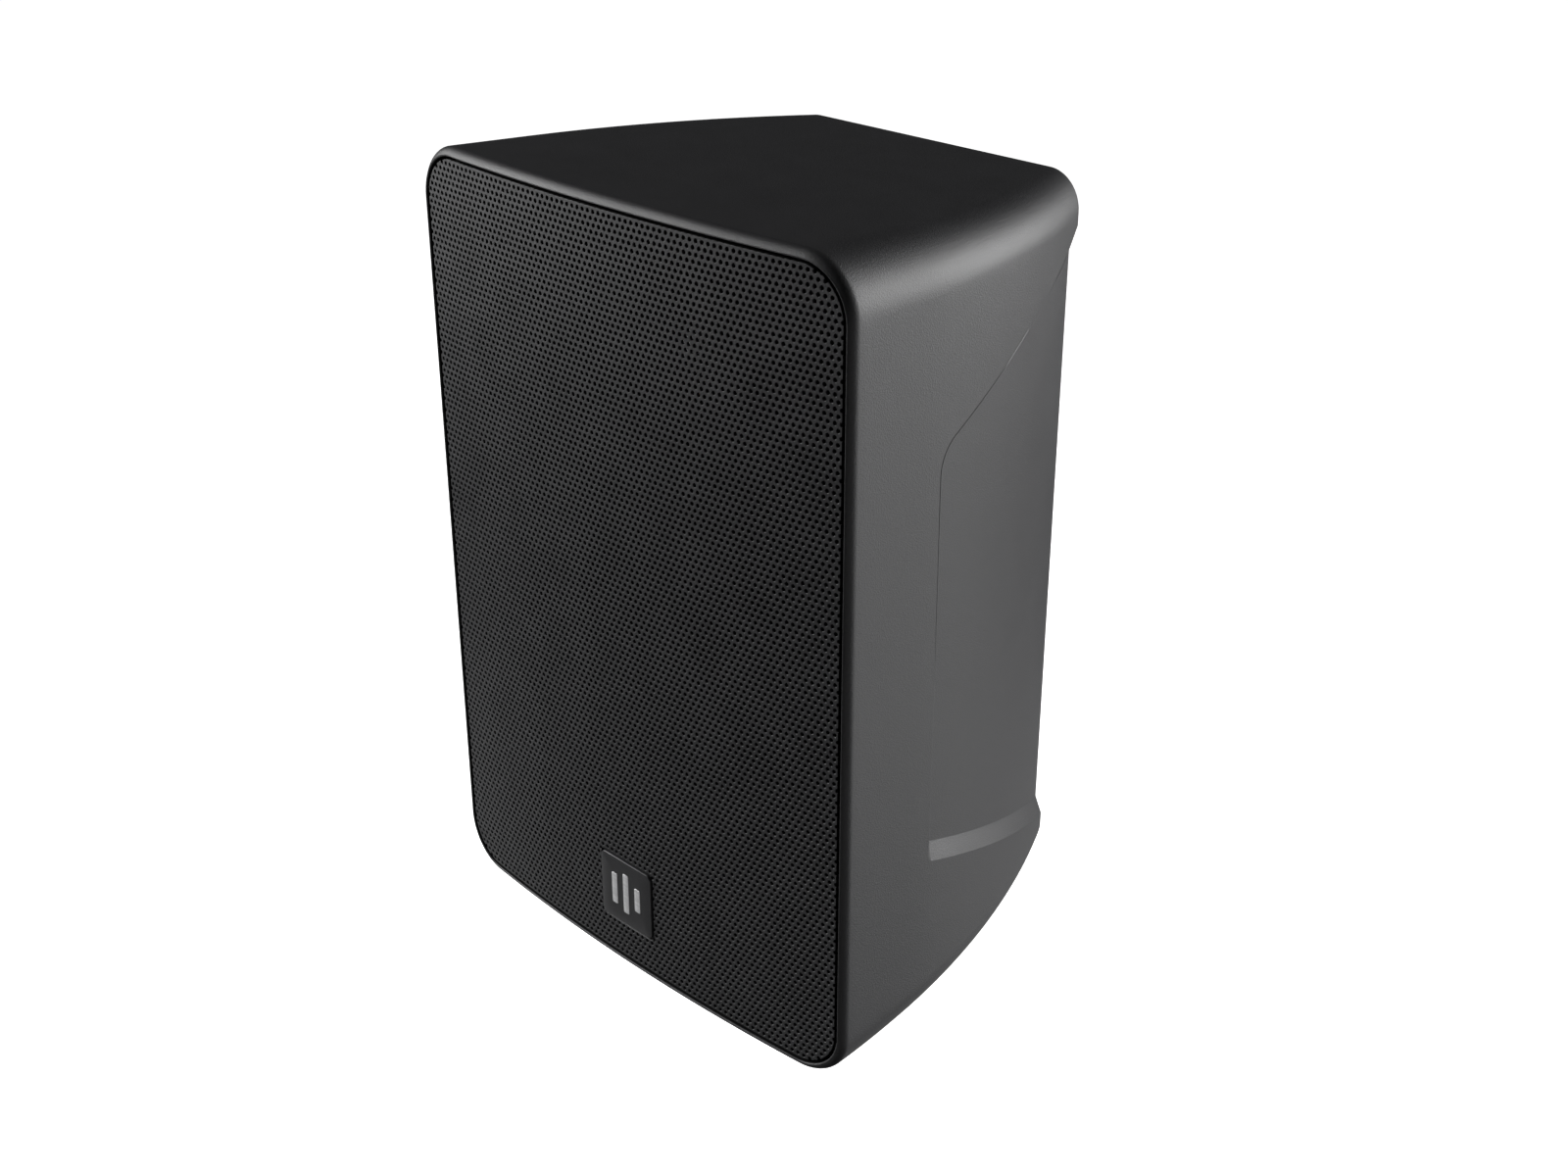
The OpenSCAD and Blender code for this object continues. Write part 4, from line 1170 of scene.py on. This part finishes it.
def terminal_cup():
    piece = Piece()
    edge, inner_edge = 0.6, 0.8
    screws = four_corners(*CUP_SCREW)

    def flange(inset):
        return panel(CUP_W + 12 - 2 * inset, CUP_H + 12 - 2 * inset, 5.5 - inset, 0, CUP_Z)

    def well(out):
        return panel(CUP_W - 4 + 2 * out, CUP_H - 4 + 2 * out, 2.5 + out, 0, CUP_Z)

    sinks = [circle(3.2, x, CUP_Z + z, 32) for x, z in screws]
    holes = [circle(1.7, x, CUP_Z + z, 32) for x, z in screws]
    body = panel(CUP_W, CUP_H, 4.5, 0, CUP_Z)
    piece.flat([flange(edge), well(inner_edge)] + sinks, DEPTH)
    piece.walls(rounded_walls(flange, DEPTH, DEPTH - 2.2, edge))
    piece.flat([flange(0), body] + holes, DEPTH - 2.2)
    for sink, hole in zip(sinks, holes):
        piece.walls([(sink, DEPTH), (hole, DEPTH - 1.6), (hole, DEPTH - 2.2)])
    roll = [(well(i), DEPTH - f) for i, f in fillet(inner_edge)]
    piece.walls(roll + [(well(0), CUP_FLOOR + 0.6), (well(-0.6), CUP_FLOOR)])
    window = panel(31, 25, 0.5, -16, CUP_Z)
    bush = circle(4.1, KNOB_X, CUP_Z, 48)
    piece.flat([well(-0.6), window, bush], CUP_FLOOR)
    piece.walls([(window, CUP_FLOOR), (window, CUP_FLOOR - 2)])
    piece.walls([(bush, CUP_FLOOR), (bush, CUP_FLOOR - 2)])
    piece.flat([body, window, bush], CUP_FLOOR - 2)
    piece.walls([(body, CUP_FLOOR - 2), (body, DEPTH - 2.2)])
    for k in range(6):
        a = math.radians(90 - 30 * k)
        tick = [(KNOB_X + r * math.cos(a) + s * math.sin(a), CUP_Z + r * math.sin(a) - s * math.cos(a))
                for r, s in ((10.6, -0.3), (13.0, -0.3), (13.0, 0.3), (10.6, 0.3))]
        piece.flat([tick], CUP_FLOOR + 0.3)
        piece.walls([(tick, CUP_FLOOR + 0.3), (tick, CUP_FLOOR - 0.2)])
    piece.make("terminal_cup", "control_plastic", "cabinet", ["terminal_cup"])


def cup_screws():
    for k, (x, z) in enumerate(four_corners(*CUP_SCREW)):
        piece = Piece()
        screw(piece, x, CUP_Z + z, DEPTH - 0.1, 2.8, 1.6, 1.2, DEPTH - 9.5, -1, True)
        piece.make(f"cup_screw_{k + 1}", "screw_black", "cabinet", stands_for("cup_screws", k))


def terminal_block():
    piece = Piece()
    x0, x1, z0, z1 = BLOCK
    edge = 0.5
    slots = [(x - LEVER_ROOM, x + LEVER_ROOM) for x in LEVER_XS]

    def body(inset):
        corners = [(x0 + inset, z0 + inset), (x1 - inset, z0 + inset), (x1 - inset, z1 - inset)]
        for a, b in reversed(slots):
            corners += [(b + inset, z1 - inset), (b + inset, -inset), (a - inset, -inset),
                        (a - inset, z1 - inset)]
        corners += [(x0 + inset, z1 - inset)]
        return [(x, CUP_Z + z) for x, z in soften(corners, 0.6, 3)]

    def whole(inset):
        return panel(x1 - x0 - 2 * inset, z1 - z0 - 2 * inset, 0.6, (x0 + x1) / 2, CUP_Z + (z0 + z1) / 2)

    holes = [circle(WIRE_FUNNEL_R, x, CUP_Z - WIRE_DROP, 32) for x in LEVER_XS]
    piece.flat([body(edge)] + holes, BLOCK_FRONT)
    piece.walls(rounded_walls(body, BLOCK_FRONT, BLOCK_FLOOR, edge))
    for x in LEVER_XS:
        funnel = [(WIRE_FUNNEL_R, BLOCK_FRONT), (2.3, BLOCK_FRONT - 0.4), (WIRE_R, 129.5), (WIRE_R, WIRE_END)]
        piece.turned(funnel, x, CUP_Z - WIRE_DROP, 32)
        piece.flat([circle(WIRE_R, x, CUP_Z - WIRE_DROP, 32)], WIRE_END)
        left, right = x - LEVER_ROOM, x + LEVER_ROOM
        piece.flat([[(left, CUP_Z), (right, CUP_Z), (right, CUP_Z + z1), (left, CUP_Z + z1)]], BLOCK_FLOOR)
    piece.walls([(whole(0), BLOCK_FLOOR), (whole(0), BLOCK_BACK + 0.5), (whole(0.5), BLOCK_BACK)])
    piece.flat([whole(0.5)], BLOCK_BACK)
    lip = panel(34, 28, 1.0, -16, CUP_Z)
    piece.flat([lip, whole(0)], 124.3)
    piece.flat([lip, whole(0)], 122.3)
    piece.walls([(lip, 124.3), (lip, 122.3)])
    piece.make("terminal_block", "control_plastic", "cabinet", ["terminal_block"])


def lever(name, x, material, body):
    """A press-down lever: a hub on its pin, a paddle and a ribbed tip."""
    piece = Piece()
    outline = [(LEVER_Y - 2.5, -0.6), (LEVER_Y - 1.2, -2.3), (LEVER_Y + 1.2, -2.3), (LEVER_Y + 3.0, -1.4),
               (LEVER_Y + 11.0, -1.4), (LEVER_Y + 11.4, -2.6), (LEVER_Y + 13.0, -2.6), (LEVER_Y + 13.0, 1.1)]
    for k in range(4):
        at = LEVER_Y + 12.2 - 1.5 * k
        outline += [(at, 1.4), (at - 0.6, 1.4), (at - 0.75, 1.05), (at - 1.2, 1.05)]
    outline += [(LEVER_Y + 5.6, 1.35), (LEVER_Y + 2.2, 1.4), (LEVER_Y + 1.2, 2.3), (LEVER_Y - 1.0, 2.4),
                (LEVER_Y - 2.5, 0.8)]
    middle = np.array([LEVER_Y + 5, -0.2])

    def section(at, shrink):
        ring = []
        for y, z in outline:
            toward = middle - (y, z)
            move = toward * shrink / max(1.0, np.linalg.norm(toward))
            ring.append((x + at, y + move[0], LEVER_Z + z + move[1]))
        return ring

    places = [(-4.2, 0.5), (-4.05, 0.15), (-3.7, 0.0), (3.7, 0.0), (4.05, 0.15), (4.2, 0.5)]
    rings = piece.loft([section(at, shrink) for at, shrink in places])
    for ring in (rings[0], rings[-1]):
        cap(piece, ring, [piece.points[i][1:] for i in ring])
    for side in (1, -1):
        turn = circle(1.15, LEVER_Y, LEVER_Z, 24)
        ends = [[(x + side * at, y, z) for y, z in turn] for at in (4.0, 5.6)]
        rows = piece.loft(ends)
        piece.faces.append(tuple(rows[1]))
    piece.make(name, material, body, [name])


def selector():
    bush = Piece()
    thread = [(4.0 - 0.25 * (k % 2), 128.6 - 0.35 * k) for k in range(12)]
    nose = [(BUSH_BORE_R, BUSH_TOP), (3.6, BUSH_TOP), (3.9, 129.2), (4.0, 128.8)]
    bush.turned(nose + thread + [(4.0, 124.2)], KNOB_X, CUP_Z, 48)
    block = panel(24, 24, 1.0, KNOB_X, CUP_Z)
    inner = circle(BUSH_BORE_R, KNOB_X, CUP_Z, 48)
    bush.flat([block, circle(4.0, KNOB_X, CUP_Z, 48)], 124.2)
    bush.walls([(block, 124.2), (block, BUSH_BACK)])
    bush.flat([block], BUSH_BACK)
    bush.walls([(inner, BUSH_TOP), (inner, 112)])
    bush.flat([inner], 112)
    bush.make("selector_switch", "control_plastic", "cabinet", ["selector_switch"])

    knob = Piece()

    def fluted(r):
        line = []
        for k in range(144):
            a = 2 * math.pi * k / 144
            off = abs((math.degrees(a) - 15 + 15) % 30 - 15)
            dent = 1.15 * max(0.0, 1 - (off / 7.0) ** 2) * (r / 9.0) ** 4
            line.append((KNOB_X + (r - dent) * math.cos(a), CUP_Z + (r - dent) * math.sin(a)))
        return line

    slot = panel(1.2, 6.6, 0.5, KNOB_X, CUP_Z + 4.6, 4)
    top = [(fluted(9), 130.3), (fluted(9), 139.6), (fluted(8.8), 140.3), (fluted(8.3), 140.8),
           (fluted(7.7), KNOB_TOP)]
    knob.walls([(fluted(8.7), KNOB_UNDER)] + top)
    knob.flat([fluted(7.7), slot], KNOB_TOP)
    knob.walls([(slot, KNOB_TOP), (slot, 140.2)])
    knob.flat([slot], 140.2)
    stem = circle(2.95, KNOB_X, CUP_Z, 36)
    knob.flat([fluted(8.7), stem], KNOB_UNDER)
    knob.walls([(stem, KNOB_UNDER), (stem, STEM_END)])
    knob.flat([stem], STEM_END)
    knob.make("selector_knob", "control_plastic", "selector", ["selector_knob"])


def inserts():
    """Brass inserts with a real M6 thread inside."""
    for k, z in enumerate((INSERT_Z, -INSERT_Z)):
        piece = Piece()
        steps, pitch = 48, 1.0
        rings = []
        for y in np.arange(DEPTH - 11.5, DEPTH - 0.7, 0.125):
            ring = []
            for i in range(steps):
                phase = (y / pitch - i / steps) % 1.0
                r = 2.5 + 0.5 * (1 - abs(2 * phase - 1)) * min(1.0, (y - DEPTH + 11.6) / 0.5)
                a = 2 * math.pi * i / steps
                ring.append((r * math.cos(a), y, z + r * math.sin(a)))
            rings.append(ring)
        rims = [[(px, y, pz) for px, pz in circle(r, 0, z, steps)]
                for r, y in ((3.1, DEPTH - 0.15), (3.25, DEPTH), (3.85, DEPTH), (4.0, DEPTH - 0.2))]
        knurl = []
        for y in np.arange(DEPTH - 0.6, DEPTH - 12.6, -0.8):
            shift = int(round((DEPTH - y) / 0.8)) % 2
            knurl.append([(px * s, y, z + pz * s) for i, (px, pz) in enumerate(circle(4.0, 0, 0, steps))
                          for s in [1.0 if (i + shift) % 2 else 0.95]])
        end = [[(px, y, pz) for px, pz in circle(r, 0, z, steps)]
               for r, y in ((3.8, DEPTH - 13), (0.01, DEPTH - 13))]
        deep = [[(px, y, pz) for px, pz in circle(r, 0, z, steps)]
                for r, y in ((0.01, DEPTH - 12), (2.5, DEPTH - 12))]
        piece.loft(deep + rings + rims + knurl + end)
        piece.make(f"mount_insert_{k + 1}", "brass", "cabinet", stands_for("mount_inserts", k))


terminal_cup()
cup_screws()
terminal_block()
lever("terminal_lever_red", LEVER_XS[0], "red_plastic", "lever_red")
lever("terminal_lever_black", LEVER_XS[1], "black_plastic", "lever_black")
selector()
inserts()


# ---------------------------------------------------------------- camera, light and floor

# The camera stands at a place (m), and looks from a bearing and a height in degrees
CAMERA_AT = (0.46965, -0.38263 - DEPTH * MM, 0.29831)
VIEW_BEARING, VIEW_HEIGHT = 45.595, 25.530
LENS, SENSOR = 47.14, 36
AIM = Vector((0.0, -0.07, 0.0))

# Softboxes: name, bearing from the front towards the right, height, width (m) and watts
BOX_DISTANCE = 1.5
SOFTBOXES = [
    ("rear_right", 150, 10, 0.8, 17.2),
    ("rear_right_high", 150, 30, 0.8, 3.8),
    ("rear", 165, 10, 0.8, 1.9),
    ("right", 130, 10, 0.8, 2.6),
    ("left_high", 300, 30, 0.8, 7.8),
    ("left_middle", 300, 20, 0.8, 5.4),
    ("left", 300, 10, 0.8, 7.0),
    ("front_left", 315, 10, 0.8, 3.4),
    ("low_right", 135, -20, 0.9, 5.4),
    ("low_front_right", 60, -20, 0.9, 1.2),
    ("low_left", 270, -45, 0.9, 3.0),
    ("low_front", 0, -45, 0.9, 1.6),
    ("low_rear", 180, -45, 0.9, 1.1),
]
AMBIENT = 0.003
FLOOR_REACH, FLOOR_BELOW = 20.0, 0.16


def toward(bearing, height):
    """The direction at a bearing and a height, in degrees."""
    a, e = math.radians(bearing), math.radians(height)
    return Vector((math.sin(a) * math.cos(e), -math.cos(a) * math.cos(e), math.sin(e)))


def camera():
    data = bpy.data.cameras.new("camera")
    data.lens, data.sensor_width = LENS, SENSOR
    data.clip_start, data.clip_end = 0.01, 50
    made = put_in_scene("camera", data)
    made.location = CAMERA_AT
    back = toward(VIEW_BEARING, VIEW_HEIGHT)
    made.rotation_mode = "QUATERNION"
    made.rotation_quaternion = (-back).to_track_quat("-Z", "Y")
    bpy.context.scene.camera = made


def softbox(name, bearing, height, width, watts):
    data = bpy.data.lights.new(name, "AREA")
    data.shape, data.size, data.energy = "SQUARE", width, watts
    made = put_in_scene(name, data)
    made.location = AIM + toward(bearing, height) * BOX_DISTANCE
    made.rotation_euler = (AIM - made.location).to_track_quat("-Z", "Y").to_euler()


def floor():
    """A plain white floor below the part, which hangs on a wall. It shows to the camera alone."""
    data = bpy.data.meshes.new("floor")
    reach, level = FLOOR_REACH, shell_low.z - FLOOR_BELOW
    data.from_pydata([(-reach, -reach, level), (reach, -reach, level),
                      (reach, reach, level), (-reach, reach, level)],
                     [], [(0, 1, 2, 3)])
    made = put_in_scene("floor", data)
    white = bpy.data.materials.new("studio_white")
    white.use_nodes = True
    shader = white.node_tree.nodes["Principled BSDF"]
    shader.inputs["Base Color"].default_value = (0.85, 0.85, 0.85, 1)
    shader.inputs["Roughness"].default_value = 0.9
    shader.inputs["Emission Color"].default_value = (1, 1, 1, 1)
    shader.inputs["Emission Strength"].default_value = 1.0
    data.materials.append(white)
    made.visible_diffuse = made.visible_glossy = made.visible_shadow = made.visible_transmission = False


def world():
    """White behind the part, and a faint even glow on it."""
    made = bpy.data.worlds.new("studio")
    made.use_nodes = True
    tree = made.node_tree
    seen = node(tree, "ShaderNodeLightPath").outputs["Is Camera Ray"]
    glow = maths(tree, "MAXIMUM", seen, AMBIENT)
    background = tree.nodes["Background"]
    background.inputs["Color"].default_value = (1, 1, 1, 1)
    tree.links.new(glow, background.inputs["Strength"])
    bpy.context.scene.world = made


camera()
floor()
world()
for row in SOFTBOXES:
    softbox(*row)
bpy.context.scene.view_settings.view_transform = "Standard"
